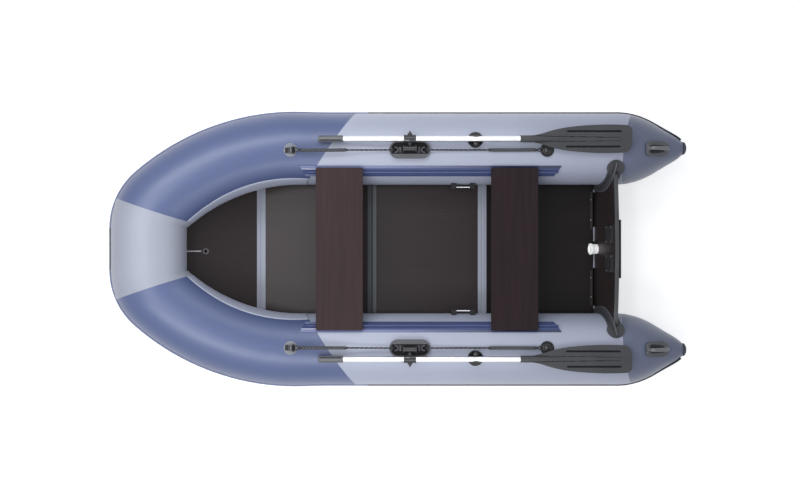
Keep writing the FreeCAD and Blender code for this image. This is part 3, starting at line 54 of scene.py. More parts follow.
LAMPS = {
    "lamp_bow": ((2.6, -0.4, 3.6), (2.2, 2.2), 36),
    "lamp_over": ((1.2, -0.02, 5.3), (2.5, 0.8), 36),
    "lamp_port": ((0.45, 1.5, 2.05), (2.8, 0.5), 23),
    "lamp_starboard": ((0.45, -1.5, 2.05), (2.8, 0.5), 23),
}
LAMP_AIM_SHARES = (0.6, 0.4)
LAMP_AIM_HEIGHT = 0.3


def paint(red, green, blue):
    """A colour as it is picked on a screen, turned into the light that it stands for."""
    return tuple((v / 12.92 if v <= 0.04045 else ((v + 0.055) / 1.055) ** 2.4)
                 for v in (red / 255, green / 255, blue / 255)) + (1,)


def feed(tree, node, places=None, **sockets):
    """Sets a node's sockets, given by number or by name, or joins them to an output or a node's first one."""
    for key, value in {**(places or {}), **sockets}.items():
        socket = node.inputs[key.replace("_", " ") if isinstance(key, str) else key]
        if isinstance(value, bpy.types.Node):
            value = value.outputs[0]
        if isinstance(value, bpy.types.NodeSocket):
            tree.links.new(value, socket)
        else:
            socket.default_value = value


def put(tree, kind, settings=None, places=None, **sockets):
    """Adds one node to a tree, with its settings and its sockets."""
    node = tree.nodes.new(kind)
    for name, value in (settings or {}).items():
        setattr(node, name, value)
    feed(tree, node, places, **sockets)
    return node


def reckoned(tree, operation, first, second):
    """One sum on two numbers."""
    return put(tree, "ShaderNodeMath", {"operation": operation}, {0: first, 1: second})


def bare_material(name):
    """A material with nothing in it but its output."""
    material = bpy.data.materials.new(name)
    material.use_nodes = True
    material.node_tree.nodes.clear()
    return material, material.node_tree, material.node_tree.nodes.new("ShaderNodeOutputMaterial")


def open_ray(tree):
    """1 for the rays that the camera, a gloss or a glass sends out, and 0 for the rest."""
    rays = put(tree, "ShaderNodeLightPath").outputs
    seen = reckoned(tree, "MAXIMUM", rays["Is Camera Ray"], rays["Is Glossy Ray"])
    return reckoned(tree, "MAXIMUM", seen, rays["Is Transmission Ray"])


def linked(name, data):
    """An object for a mesh, lamp or camera, in the scene, at the origin."""
    item = bpy.data.objects.new(name, data)
    scene.collection.objects.link(item)
    return item


scene = bpy.context.scene
scene.view_settings.view_transform = "Standard"
world = bpy.data.worlds.new("studio_sky")
world.use_nodes = True
scene.world = world
sky = world.node_tree
sky.nodes.clear()
sky_soft = put(sky, "ShaderNodeBackground", Color=paint(*SKY_LIGHT), Strength=SKY_STRENGTH)
sky_seen = put(sky, "ShaderNodeBackground", Color=paint(*SKY_SEEN), Strength=SKY_SEEN_STRENGTH)
sky_mix = put(sky, "ShaderNodeMixShader", places={0: open_ray(sky), 1: sky_soft, 2: sky_seen})
put(sky, "ShaderNodeOutputWorld", Surface=sky_mix)

floor_paint, floor_tree, floor_end = bare_material("studio_floor")
floor_matt = put(floor_tree, "ShaderNodeBsdfDiffuse", Color=paint(*FLOOR_WHITE))
floor_glow = put(floor_tree, "ShaderNodeEmission", Color=(1, 1, 1, 1), Strength=FLOOR_GLOW)
floor_bright = put(floor_tree, "ShaderNodeAddShader", places={0: floor_matt, 1: floor_glow})
floor_mix = put(floor_tree, "ShaderNodeMixShader", places={0: open_ray(floor_tree), 1: floor_matt,
                                                           2: floor_bright})
feed(floor_tree, floor_end, Surface=floor_mix)
floor_mesh = bpy.data.meshes.new("studio_floor")
floor_corners = [(x * FLOOR_REACH, y * FLOOR_REACH, 0) for x, y in ((-1, -1), (1, -1), (1, 1), (-1, 1))]
floor_mesh.from_pydata(floor_corners, [], [(0, 1, 2, 3)])
floor_mesh.materials.append(floor_paint)
linked("studio_floor", floor_mesh)

for lamp_name, (spot, sides, power) in LAMPS.items():
    light = bpy.data.lights.new(lamp_name, "AREA")
    light.shape = "RECTANGLE"
    light.size, light.size_y = sides
    light.energy = power
    lamp = linked(lamp_name, light)
    lamp.location = spot
    aim = Vector((spot[0] * LAMP_AIM_SHARES[0], spot[1] * LAMP_AIM_SHARES[1], LAMP_AIM_HEIGHT))
    lamp.rotation_euler = (aim - Vector(spot)).to_track_quat("-Z", "Y").to_euler()

lens = bpy.data.cameras.new("camera")
lens.sensor_width = SENSOR_WIDTH
lens.lens = FOCAL_PIXELS / FRAME_WIDTH * SENSOR_WIDTH
camera = linked("camera", lens)
camera.location = (*CAMERA_SPOT, CAMERA_HEIGHT)
camera.rotation_euler = (0, 0, math.pi)
scene.camera = camera

# Hull tubes: inflated PVC-coated fabric, cut in panels of two colours and glued edge over edge.
# One round tube runs from each tapering stern cone along the side and up round the bow.
TUBE_RADIUS = 0.2025
NOSE_HALF_WIDTH = 0.114
NOSE_CORNER_RADIUS = 0.208
NOSE_CORNER_ANGLE = math.radians(47.5)
SHOULDER_RADIUS = 1.154
RISE_ANGLE = math.radians(15)
RISE_BEND_RADIUS = 0.6
CONE_START = -1.19
CONE_END = -1.5857
CONE_TIP_RISE = 0.04
CONE_RINGS = (
    (0, 1), (0.1, 0.998), (0.22, 0.973), (0.39, 0.884), (0.54, 0.75), (0.66, 0.61), (0.76, 0.49),
    (0.85, 0.385), (0.93, 0.28), (0.98, 0.19), (1, 0.155))
NOSE_POINT = Vector((1.393843, 0, 0.442192))
TUBE_Y = 0.570536
BEND_BACK = 0.420308
ROUND_SEGMENTS = 88
RIPPLE_HEIGHT = 0.0009
RIPPLE_SCALE = 7.0
FABRIC_BLUE = paint(79, 93, 134)
FABRIC_CONE = paint(98, 107, 132)
FABRIC_GREY = paint(172, 178, 196)
FABRIC_NOSE = paint(160, 165, 178)
WELD = 1e-5
CONE_STEPS = 26
SIDE_STEPS = 38
RISE_STEPS = 6
BOW_STEPS = 41
NOSE_STEPS = 6

to_port = Vector((0, 1, 0))
upward = Vector((0, 0, 1))


def circled(first, second, turn, reach=1.0):
    """A step so far at an angle, turned from one direction towards another."""
    return (first * math.cos(turn) + second * math.sin(turn)) * reach


bow_forward = circled(Vector((1, 0, 0)), upward, RISE_ANGLE)
bow_up = circled(upward, Vector((-1, 0, 0)), RISE_ANGLE)


def cone_girth(share):
    """The cone's radius, as a share of the tube's, at a share of its length."""
    for (back, low), (front, high) in zip(CONE_RINGS, CONE_RINGS[1:]):
        if share <= front:
            index = CONE_RINGS.index((back, low))
            before = CONE_RINGS[max(index - 1, 0)]
            after = CONE_RINGS[min(index + 2, len(CONE_RINGS) - 1)]
            step = front - back
            slope_in = (high - before[1]) / (front - before[0]) * step if index else 0
            slope_out = (after[1] - low) / (after[0] - back) * step
            t = (share - back) / step
            return (low * (1 + 2 * t) * (1 - t) ** 2 + slope_in * t * (1 - t) ** 2
                    + high * t * t * (3 - 2 * t) + slope_out * t * t * (t - 1))
    return CONE_RINGS[-1][1]


def bow_station(station):
    """Centre and outward direction of the port tube: 0 to 1 is the shoulder, 1 to 2 the nose's corner."""
    corner = NOSE_POINT - bow_forward * NOSE_CORNER_RADIUS + to_port * NOSE_HALF_WIDTH
    if station > 1:
        out = circled(bow_forward, to_port, NOSE_CORNER_ANGLE * (2 - station))
        return corner + out * NOSE_CORNER_RADIUS, out
    lead = NOSE_CORNER_RADIUS - SHOULDER_RADIUS
    shoulder = corner + circled(bow_forward, to_port, NOSE_CORNER_ANGLE, lead)
    out = circled(bow_forward, to_port, math.pi / 2 + (NOSE_CORNER_ANGLE - math.pi / 2) * station)
    return shoulder + out * SHOULDER_RADIUS, out


def spread(start, end, count):
    """Evenly spread numbers from start to end, both included."""
    return [start + (end - start) * index / (count - 1) for index in range(count)]


def tube_line():
    """Centre, outward and upward directions and radius of the port tube, from its stern tip to the nose."""
    line = []
    for share in reversed(spread(0, 1, CONE_STEPS)):
        centre = Vector((CONE_START + (CONE_END - CONE_START) * share, TUBE_Y,
                         TUBE_RADIUS + CONE_TIP_RISE * share * share))
        line.append((centre, to_port, upward, TUBE_RADIUS * cone_girth(share)))
    for x in spread(CONE_START, BEND_BACK, SIDE_STEPS)[1:]:
        line.append((Vector((x, TUBE_Y, TUBE_RADIUS)), to_port, upward, TUBE_RADIUS))
    hub = Vector((BEND_BACK, TUBE_Y, TUBE_RADIUS + RISE_BEND_RADIUS))
    for turn in spread(0, RISE_ANGLE, RISE_STEPS)[1:]:
        up = circled(upward, Vector((-1, 0, 0)), turn)
        line.append((hub - up * RISE_BEND_RADIUS, to_port, up, TUBE_RADIUS))
    for station in spread(0, 2, BOW_STEPS)[1:]:
        line.append((*bow_station(station), bow_up, TUBE_RADIUS))
    for share in spread(1, 0, NOSE_STEPS)[1:]:
        line.append((NOSE_POINT + to_port * NOSE_HALF_WIDTH * share, bow_forward, bow_up, TUBE_RADIUS))
    return line


def new_tree(name, inputs):
    """An empty Geometry Nodes tree with named inputs, its two ends ready."""
    tree = bpy.data.node_groups.new(name, "GeometryNodeTree")
    tree.interface.new_socket("Geometry", in_out="INPUT", socket_type="NodeSocketGeometry")
    for socket_name, kind in inputs:
        tree.interface.new_socket(socket_name, in_out="INPUT", socket_type="NodeSocket" + kind)
    tree.interface.new_socket("Geometry", in_out="OUTPUT", socket_type="NodeSocketGeometry")
    return tree, tree.nodes.new("NodeGroupInput").outputs, tree.nodes.new("NodeGroupOutput").inputs[0]


def grown(name, start, tree, **values):
    """The plain mesh that a Geometry Nodes tree makes of a starting mesh, with the tree's inputs by name."""
    seed = linked(name + "_seed", start)
    modifier = seed.modifiers.new("grow", "NODES")
    modifier.node_group = tree
    for socket in tree.interface.items_tree:
        if socket.in_out == "INPUT" and socket.name.replace(" ", "_") in values:
            modifier[socket.identifier] = values[socket.name.replace(" ", "_")]
    bpy.context.view_layer.update()
    mesh = bpy.data.meshes.new_from_object(seed.evaluated_get(bpy.context.evaluated_depsgraph_get()))
    mesh.name = name
    bpy.data.objects.remove(seed)
    return mesh


def ended(tree, geometry, given, result):
    """Ends a tree: its instances made real, smooth, in the tree's finish."""
    real = put(tree, "GeometryNodeRealizeInstances", Geometry=geometry)
    smooth = put(tree, "GeometryNodeSetShadeSmooth", Geometry=real)
    finished = put(tree, "GeometryNodeSetMaterial", Geometry=smooth, Material=given["Finish"])
    tree.links.new(finished.outputs[0], result)
    return tree


def sweep_tree():
    """A round sheath along edges, as fat as each point's girth, with a little ripple in its skin."""
    tree, given, result = new_tree("round_sheath", (
        ("Round Segments", "Int"), ("Ripple Height", "Float"), ("Ripple Scale", "Float"),
        ("Closed Ends", "Bool"), ("Finish", "Material")))
    curve = put(tree, "GeometryNodeMeshToCurve", Mesh=given["Geometry"])
    ring = put(tree, "GeometryNodeCurvePrimitiveCircle", Resolution=given["Round Segments"], Radius=1.0)
    girth = put(tree, "GeometryNodeInputNamedAttribute", {"data_type": "FLOAT"}, Name="girth")
    skin = put(tree, "GeometryNodeCurveToMesh", Curve=curve, Profile_Curve=ring,
               Scale=girth.outputs["Attribute"], Fill_Caps=given["Closed Ends"])
    ripple = put(tree, "ShaderNodeTexNoise", Vector=put(tree, "GeometryNodeInputPosition"),
                 Scale=given["Ripple Scale"], Detail=2.0)
    height = reckoned(tree, "MULTIPLY", reckoned(tree, "SUBTRACT", ripple, 0.5), given["Ripple Height"])
    push = put(tree, "ShaderNodeVectorMath", {"operation": "SCALE"},
               {0: put(tree, "GeometryNodeInputNormal")}, Scale=height)
    rippled = put(tree, "GeometryNodeSetPosition", Geometry=skin, Offset=push)
    return ended(tree, rippled, given, result)


round_sheath = sweep_tree()


def sheath(name, points, girths, material, segments=24, ripple=0.0, scale=5.0, closed=True):
    """A round tube, rod or rope along points, made by the sheath tree."""
    start = bpy.data.meshes.new(name + "_line")
    start.from_pydata([tuple(point) for point in points], [(i, i + 1) for i in range(len(points) - 1)], [])
    girth = start.attributes.new("girth", "FLOAT", "POINT")
    girth.data.foreach_set("value", [float(value) for value in girths])
    return grown(name, start, round_sheath, Round_Segments=segments, Ripple_Height=ripple, Ripple_Scale=scale,
                 Closed_Ends=closed, Finish=material)


def shader(name, colour, roughness, **sockets):
    """A material with one Principled shader, and its object coordinates."""
    material, tree, end = bare_material(name)
    surface = put(tree, "ShaderNodeBsdfPrincipled", Base_Color=colour, Roughness=roughness, **sockets)
    feed(tree, end, Surface=surface)
    return material, tree, surface, put(tree, "ShaderNodeTexCoord").outputs["Object"]


def noise(tree, spot, scale, detail=3.0):
    """A cloudy pattern, from 0 to 1."""
    return put(tree, "ShaderNodeTexNoise", Vector=spot, Scale=scale, Detail=detail)


def tinted(tree, fac, dark, light, mode="MIX"):
    """A colour between dark and light, or one multiplied by the other."""
    blend = put(tree, "ShaderNodeMix", {"data_type": "RGBA", "blend_type": mode}, {0: fac, 6: dark, 7: light})
    return blend.outputs[2]


def shaded(colour, share):
    """A colour made darker or lighter by a share."""
    return tuple(min(value * share, 1) for value in colour[:3]) + (1,)


def stretched(tree, fac, low, high):
    """A number from 0 to 1 spread between low and high."""
    return put(tree, "ShaderNodeMapRange", Value=fac, To_Min=low, To_Max=high)


def relief(tree, *heights):
    """Bumps laid one over another: each a height, its depth in metres and its strength."""
    under = None
    for height, depth, strength in heights:
        bump = put(tree, "ShaderNodeBump", Height=height, Distance=depth, Strength=strength)
        if under:
            feed(tree, bump, Normal=under)
        under = bump
    return under


def coated_fabric(name, colour, roughness=0.4, level=0.5):
    """PVC-coated fabric: a fine woven ground under a satin skin, a little uneven where it was glued."""
    material, tree, surface, spot = shader(name, colour, roughness, Specular_IOR_Level=level)
    fine = noise(tree, spot, 60.0, detail=4.0)
    cloudy = tinted(tree, noise(tree, spot, 2.6), shaded(colour, 0.92), shaded(colour, 1.07))
    speckle = tinted(tree, fine, (0.86, 0.86, 0.87, 1), (1, 1, 1, 1))
    weave = put(tree, "ShaderNodeTexVoronoi", Vector=spot, Scale=820.0)
    feed(tree, surface, Base_Color=tinted(tree, 0.35, cloudy, speckle, "MULTIPLY"),
         Roughness=stretched(tree, fine, roughness - 0.06, roughness + 0.08),
         Normal=relief(tree, (noise(tree, spot, 11.0, detail=2.0), 0.004, 0.22), (weave, 0.0004, 0.16)))
    return material


fabric_blue = coated_fabric("fabric_blue", FABRIC_BLUE, level=0.85)
fabric_cone = coated_fabric("fabric_cone", FABRIC_CONE, roughness=0.34, level=0.8)
fabric_grey = coated_fabric("fabric_grey", FABRIC_GREY)
fabric_nose = coated_fabric("fabric_nose", FABRIC_NOSE)

tube_stations = tube_line()
port_half = sheath("port_half", [station[0] for station in tube_stations],
                   [station[3] for station in tube_stations], fabric_grey, segments=ROUND_SEGMENTS,
                   ripple=RIPPLE_HEIGHT, scale=RIPPLE_SCALE, closed=False)


def upright_seam(x, y, degrees):
    """A seam between panels: a point on it, and the level direction that lies forward of it."""
    turn = math.radians(degrees)
    return Vector((x, y, 0)), Vector((math.sin(turn), -math.cos(turn), 0))


NOSE_SEAM = upright_seam(1.1858, 0.153, 18.4)
SHOULDER_SEAM = upright_seam(0.481, 0.462, 124.5)
CONE_SEAM = (Vector((-1.215, TUBE_Y, 0.405)), Vector((1, 0.133, -0.325)).normalized())


def opened(mesh):
    """A mesh laid open for work."""
    work = bmesh.new()
    work.from_mesh(mesh)
    return work


def closed(work, name, *materials):
    """The mesh that the work has come to, in its materials."""
    mesh = bpy.data.meshes.new(name)
    work.to_mesh(mesh)
    work.free()
    for material in materials:
        mesh.materials.append(material)
    return mesh


def sliced(work, point, direction, clear=False):
    """Cuts the work with a plane, and clears what lies beyond it where that is asked."""
    return bmesh.ops.bisect_plane(work, geom=work.verts[:] + work.edges[:] + work.faces[:], dist=1e-6,
                                  plane_co=point, plane_no=direction, clear_outer=clear)


def trimmed(mesh, cuts, close=True):
    """A copy of a mesh that keeps what lies on the side that each cut's direction points to."""
    work = opened(mesh)
    for point, direction in cuts:
        rim = [piece for piece in sliced(work, point, -direction, True)["geom_cut"]
               if isinstance(piece, bmesh.types.BMEdge)]
        if close and rim:
            for edge in rim:
                edge.smooth = False
            bmesh.ops.edgenet_fill(work, edges=rim)
    bmesh.ops.recalc_face_normals(work, faces=work.faces[:])
    return closed(work, mesh.name)


def flipped(mesh, name):
    """The starboard twin of a port mesh."""
    twin = mesh.copy()
    twin.name = name
    twin.transform(Matrix.Scale(-1, 4, to_port))
    twin.flip_normals()
    return twin


def joined(name, meshes, weld=0.0):
    """Several meshes in one, with their materials, welded where they meet."""
    work = bmesh.new()
    materials = []
    for mesh in meshes:
        for material in mesh.materials:
            if material not in materials:
                materials.append(material)
        slots = [materials.index(material) for material in mesh.materials]
        first = len(work.faces)
        work.from_mesh(mesh)
        work.faces.ensure_lookup_table()
        for face in work.faces[first:]:
            face.material_index = slots[face.material_index] if slots else 0
    if weld:
        bmesh.ops.remove_doubles(work, verts=work.verts[:], dist=weld)
    return closed(work, name, *materials)


def dressed(mesh, material):
    """A mesh that wears one material all over."""
    mesh.materials.clear()
    mesh.materials.append(material)
    return mesh


def shown(name, mesh, body, slot, *nodes):
    """A finished piece: it rides on a body and stands for CAD nodes; its slot argument is not used."""
    item = linked(name, mesh)
    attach(item, body)
    if nodes:
        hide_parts(*nodes)
    return item


def both_sides(name, mesh, slot, *nodes, body=None):
    """A port piece and its starboard twin, each for its side's CAD nodes, on the hull or its side's body."""
    for side, twin in (("_port", mesh), ("_starboard", flipped(mesh, name + "_starboard"))):
        rider = body + side if body else "hull"
        shown(name + side, twin, rider, slot, *[node + side for node in nodes])


def turned(seam):
    """The same seam, kept from its other side."""
    return seam[0], -seam[1]


nose_half = dressed(trimmed(port_half, [NOSE_SEAM]), fabric_nose)
nose_whole = joined("nose_fabric", [nose_half, flipped(nose_half, "nose_twin")], WELD)
shown("nose_fabric", nose_whole, "hull", "fabric_grey", "bow_tube")
for panel, node, slot, fabric, seams in (
        ("shoulder_fabric", "shoulder_tube", "fabric_blue", fabric_blue, [turned(NOSE_SEAM), SHOULDER_SEAM]),
        ("side_fabric", "side_tube", "fabric_grey", fabric_grey,
         [turned(NOSE_SEAM), turned(SHOULDER_SEAM), CONE_SEAM]),
        ("cone_fabric", "stern_cone", "fabric_blue", fabric_cone, [turned(CONE_SEAM)])):
    both_sides(panel, dressed(trimmed(port_half, seams), fabric), slot, node)

# Seam laps: where one panel is glued over the next, the under edge shows as a narrow raised band.
# The nose lies over the shoulders, the cones over the sides, and the grey sides have one joint amidships.
LAP_WIDTH = 0.032
LAP_HEIGHT = 0.0011
JOINT_HEIGHT = 0.0003
RIM_SHARPNESS = 0.6
SIDE_JOINT = (Vector((0.118, 0, 0)), Vector((1, 0, 0)))


def thickened(work, thickness):
    """Gives the sheet in the work a thickness, with its faces outwards."""
    bmesh.ops.solidify(work, geom=work.faces[:], thickness=thickness)
    bmesh.ops.recalc_face_normals(work, faces=work.faces[:])


def lap(name, seam, material, thickness):
    """The band of fabric between a seam and a line beside it, raised off the tube."""
    work = opened(trimmed(port_half, [seam, (seam[0] + seam[1] * LAP_WIDTH, -seam[1])], False))
    for vert in work.verts:
        vert.co += vert.normal * thickness
    work.normal_update()
    thickened(work, thickness)
    for edge in work.edges:
        edge.smooth = edge.calc_face_angle(0) < RIM_SHARPNESS
    return closed(work, name, material)


for lap_name, seam, fabric, slot, thickness in (
        ("nose_lap", NOSE_SEAM, fabric_nose, "fabric_grey", LAP_HEIGHT),
        ("cone_lap", turned(CONE_SEAM), fabric_cone, "fabric_blue", JOINT_HEIGHT),
        ("side_joint", SIDE_JOINT, fabric_grey, "fabric_grey", JOINT_HEIGHT)):
    both_sides(lap_name, lap(lap_name, seam, fabric, thickness), slot)

# Inner band: a light strip of fabric glued along the inner flank of each shoulder tube, from the nose
# to the grey side, down to where the bottom is glued on.
BAND_RUN_ON = 0.06
BAND_TOP_ANGLE = 60
BAND_TOP_DIP = 5.5
BAND_FOOT_ANGLE = 147
BAND_HEIGHT = 0.001
BAND_THICKNESS = 0.0009


def tube_spot(station, angle, lift):
    """A point on a station of the tube, an angle inboard of its crown and so far off its skin."""
    centre, out, up, radius = station
    return centre + circled(up, -out, math.radians(angle), radius + lift)


def grid(name, rows, *materials, close=True, smooth=True, thickness=0.0):
    """A shape through rows of points: a solid whose rows are closed loops, or an open sheet."""
    work = bmesh.new()
    lines = [[work.verts.new(point) for point in row] for row in rows]
    for near, far in zip(lines, lines[1:]):
        across = list(zip(near, near[1:] + near[:1], far[1:] + far[:1], far))
        for corners in across if close else across[:-1]:
            work.faces.new(corners).smooth = smooth
    if close:
        work.faces.new(lines[0][::-1])
        work.faces.new(lines[-1])
    bmesh.ops.recalc_face_normals(work, faces=work.faces[:])
    if thickness:
        thickened(work, thickness)
    return closed(work, name, *materials)


band_rows = []
for share in spread(-BAND_RUN_ON, 1, 46):
    centre, out = bow_station(max(share, 0))
    if share < 0:
        centre = centre + (centre - bow_station(BAND_RUN_ON)[0]) * (-share / BAND_RUN_ON)
    top = BAND_TOP_ANGLE - BAND_TOP_DIP * math.sin(math.pi * max(share, 0))
    band_rows.append([tube_spot((centre, out, bow_up, TUBE_RADIUS), angle, BAND_HEIGHT)
                      for angle in spread(top, BAND_FOOT_ANGLE, 22)])
band_sheet = grid("inner_band", band_rows, close=False)
band_work = opened(trimmed(band_sheet, [turned(NOSE_SEAM), SHOULDER_SEAM], False))
thickened(band_work, BAND_THICKNESS)
both_sides("inner_band", closed(band_work, "inner_band", fabric_grey), "fabric_grey")

# Rubbing strake: an extruded rubber strip with two grooves, glued round the widest line of the tubes.
# Its two side lengths climb onto the cones, where moulded rubber caps close the tips.
STRAKE_HALF = (
    (0.006, 0.0045), (0.0036, 0.006), (0.0036, 0.009), (0.006, 0.0105), (0.006, 0.0193), (0.0045, 0.021),
    (0.0003, 0.021))
RUBBER_DARK = paint(62, 62, 67)
RUBBER_BLUE = paint(132, 142, 176)
STRAKE_BLUE_FROM = 0.17
STRAKE_BLUE_TO = 0.115
CAP_START = -1.5795
CAP_HEIGHT = 0.2425
CAP_PROFILE = (
    (0, 0.034), (0.001, 0.0365), (0.005, 0.0368), (0.010, 0.0345), (0.0145, 0.029), (0.0182, 0.021),
    (0.0203, 0.010), (0.0205, 0.002))


def moulded(name, colour, roughness=0.5, grain=420.0, depth=0.0003, level=0.5, glow=0.0):
    """Moulded rubber or plastic: one colour with a faint cloud in it and a fine sparked grain."""
    material, tree, surface, spot = shader(name, colour, roughness, Specular_IOR_Level=level,
                                           Emission_Color=colour, Emission_Strength=glow)
    cloud = noise(tree, spot, 9.0, detail=4.0)
    feed(tree, surface, Base_Color=tinted(tree, cloud, shaded(colour, 0.8), shaded(colour, 1.2)),
         Roughness=stretched(tree, cloud, roughness - 0.08, roughness + 0.1),
         Normal=relief(tree, (noise(tree, spot, grain, detail=2.0), depth, 0.35)))
    return material


rubber_dark = moulded("rubber_dark", RUBBER_DARK, roughness=0.62)
rubber_blue = moulded("rubber_blue", RUBBER_BLUE, roughness=0.5)


def strake_rows(stations):
    """The strake's section, alike above and below its middle, at each station of the tube."""
    section = [(proud, -rise) for proud, rise in STRAKE_HALF[::-1]] + [*STRAKE_HALF]
    return [[centre + out * (radius + proud) + up * rise for proud, rise in section]
            for centre, out, up, radius in stations]


def mirrored(spot):
    """The same spot on the starboard side."""
    return Vector((spot.x, -spot.y, spot.z))


def around(count):
    """Angles evenly spread round a circle."""
    return spread(0, 2 * math.pi, count + 1)[:-1]


def spun(name, middle, aim, profile, material, segments=48):
    """A turned shape: rings at distances along an axis, each with its radius."""
    side = aim.cross(to_port).normalized()
    return grid(name, [[middle + aim * along + circled(side, to_port, turn, radius)
                        for turn in around(segments)] for along, radius in profile], material)


blue_start = next(index for index, station in enumerate(tube_stations) if station[0].x > STRAKE_BLUE_FROM)
blue_end = next(index for index, station in enumerate(tube_stations)
                if index > blue_start and station[0].y < STRAKE_BLUE_TO)
side_rows = strake_rows(tube_stations[1:blue_start + 1])
blue_rows = strake_rows(tube_stations[blue_start:blue_end + 1])
nose_rows = strake_rows(tube_stations[blue_end:])
nose_rows += [[mirrored(spot) for spot in row] for row in nose_rows[-2::-1]]
side_strake = grid("rub_strake", side_rows, rubber_dark, smooth=False)
blue_strake = grid("rub_strake_blue", blue_rows, rubber_blue, smooth=False)
nose_strake = grid("rub_strake_nose", nose_rows, rubber_dark, smooth=False)
both_sides("rub_strake", side_strake, "rubber_dark", "rub_strake")
both_sides("rub_strake_blue", blue_strake, "rubber_blue")
shown("rub_strake_nose", nose_strake, "hull", "rubber_dark", "rub_strake_bow")
cone_cap = spun("cone_cap", Vector((CAP_START, TUBE_Y, CAP_HEIGHT)), Vector((-1, 0, 0)), CAP_PROFILE,
                rubber_dark, segments=40)
both_sides("cone_cap", cone_cap, "rubber_dark")
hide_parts("cone_caps")

# Bottom: one V-shaped sheet of the grey fabric, glued under the tubes and pushed down by an inflated keel
# that lies under the floor. It rises to the nose in a long curve.
SKIN_RADIUS = 0.1965
CHINE_ANGLES = ((0, 60), (0.5, 62), (1, 66), (1.15, 72), (1.3, 77), (1.45, 80), (3, 80))
KEEL_HEIGHT = 0.002
KEEL_RISE_START = 0.56
KEEL_END_DROP = 0.025
SKIN_STERN = -1.15
SKIN_STERN_GAP = 0.02
SKIN_SAG = 0.002
SKIN_THICKNESS = 0.0024
KEEL_RADIUS = 0.037
KEEL_SPAN = (-1.06, 0.418)
KEEL_CENTRE_Z = 0.04235
KEEL_END_LENGTH = 0.06
KEEL_END_LEAST = 0.02
KEEL_RIPPLE = 0.0015
KEEL_RIPPLE_SCALE = 9.0


def between(table, place):
    """A value read from a table of places and values."""
    for (low, first), (high, second) in zip(table, table[1:]):
        if place <= high:
            share = min(max((place - low) / (high - low), 0), 1)
            return first + (second - first) * share
    return table[-1][1]


rise_end = len(tube_stations) - (BOW_STEPS - 1) - (NOSE_STEPS - 1)
skin_edge = []
for index, (centre, out, up, radius) in enumerate(tube_stations[:1 - NOSE_STEPS]):
    if centre.x >= SKIN_STERN + SKIN_STERN_GAP:
        step = index - rise_end
        place = 1 + step / (RISE_STEPS if step < 0 else (BOW_STEPS - 1) / 2)
        skin_edge.append(centre - circled(out, up, math.radians(between(CHINE_ANGLES, place)), SKIN_RADIUS))
skin_edge.insert(0, Vector((SKIN_STERN, skin_edge[0].y, skin_edge[0].z)))
keel_end = skin_edge[-1]
skin_rows = []
for edge in skin_edge:
    share = max(0, (edge.x - KEEL_RISE_START) / (keel_end.x - KEEL_RISE_START))
    keel_z = KEEL_HEIGHT + (keel_end.z - KEEL_END_DROP - KEEL_HEIGHT) * share * share
    row = []
    for part in spread(0, 1, 9):
        sag = SKIN_SAG * math.sin(math.pi * part)
        row.append(Vector((edge.x, edge.y * (1 - part), edge.z + (keel_z - edge.z) * part + sag)))
    skin_rows.append(row + [mirrored(spot) for spot in row[-2::-1]])
bottom_fabric = grid("bottom_fabric", skin_rows, fabric_grey, close=False, thickness=SKIN_THICKNESS)
shown("bottom_fabric", bottom_fabric, "hull", "fabric_grey", "bottom_skin")
keel_points = [Vector((x, 0, KEEL_CENTRE_Z)) for x in spread(*KEEL_SPAN, 60)]
keel_girths = []
for point in keel_points:
    blunt = max(0, 1 - min(point.x - KEEL_SPAN[0], KEEL_SPAN[1] - point.x) / KEEL_END_LENGTH)
    keel_girths.append(KEEL_RADIUS * math.sqrt(max(1 - blunt ** 2, KEEL_END_LEAST)))
keel_fabric = sheath("keel_fabric", keel_points, keel_girths, fabric_grey, segments=32, ripple=KEEL_RIPPLE,
                     scale=KEEL_RIPPLE_SCALE)
shown("keel_fabric", keel_fabric, "hull", "fabric_grey", "keel_tube")

# Floor: four dark film-faced plywood panels between the tubes. Two folds are covered by welded fabric
# strips, an aluminium profile joins the middle panels, and the keel's valve sits in the bow panel.
FLOOR_FILM = paint(42, 34, 35)
FLOOR_FILM_SHADED = paint(29, 25, 26)
STRIP_GREY = paint(150, 154, 168)
STRIP_LINES = (0.003, 0.009, 0.017, 0.0225)
STRIP_TOP_NORMAL = 0.3
FOLD_CUT = 0.0004
FOLD_HALF = 0.0015
FOLD_DEPTH = 0.0008
RIDGE_HALF = 0.0006
RIDGE_HEIGHT = 0.0007
STERN_HINGE_X = -0.457
BOW_HINGE_X = 0.829
JOINER_GROOVE = ((0.184, -0.395, 0.0981), (0.184, 0.395, 0.0981), 0.0028, 0.0006)
SLOT_LIGHT_BAR = ((1.158, 0.0125, 0.1955), (1.2365, 0.0125, 0.2165), 0.0034, 0.001)
BAR_SECTION = ((-1, 0), (-0.94, 0.7), (-0.7, 1), (0.7, 1), (0.94, 0.7), (1, 0))
ALUMINIUM_DARK = paint(84, 87, 89)
ALUMINIUM_GROOVE_SHADE = paint(44, 46, 48)
SLOT_LIGHT_PALE = paint(206, 200, 206)
RING_GREY = paint(84, 82, 83)


def drawn_out(tree, spot, along, fine, coarse, detail=3.0):
    """A pattern stretched along one axis, as grain and drawn lines are."""
    scale = [coarse if axis == along else fine for axis in "XYZ"]
    return noise(tree, put(tree, "ShaderNodeMapping", Vector=spot, Scale=scale), 1.0, detail)


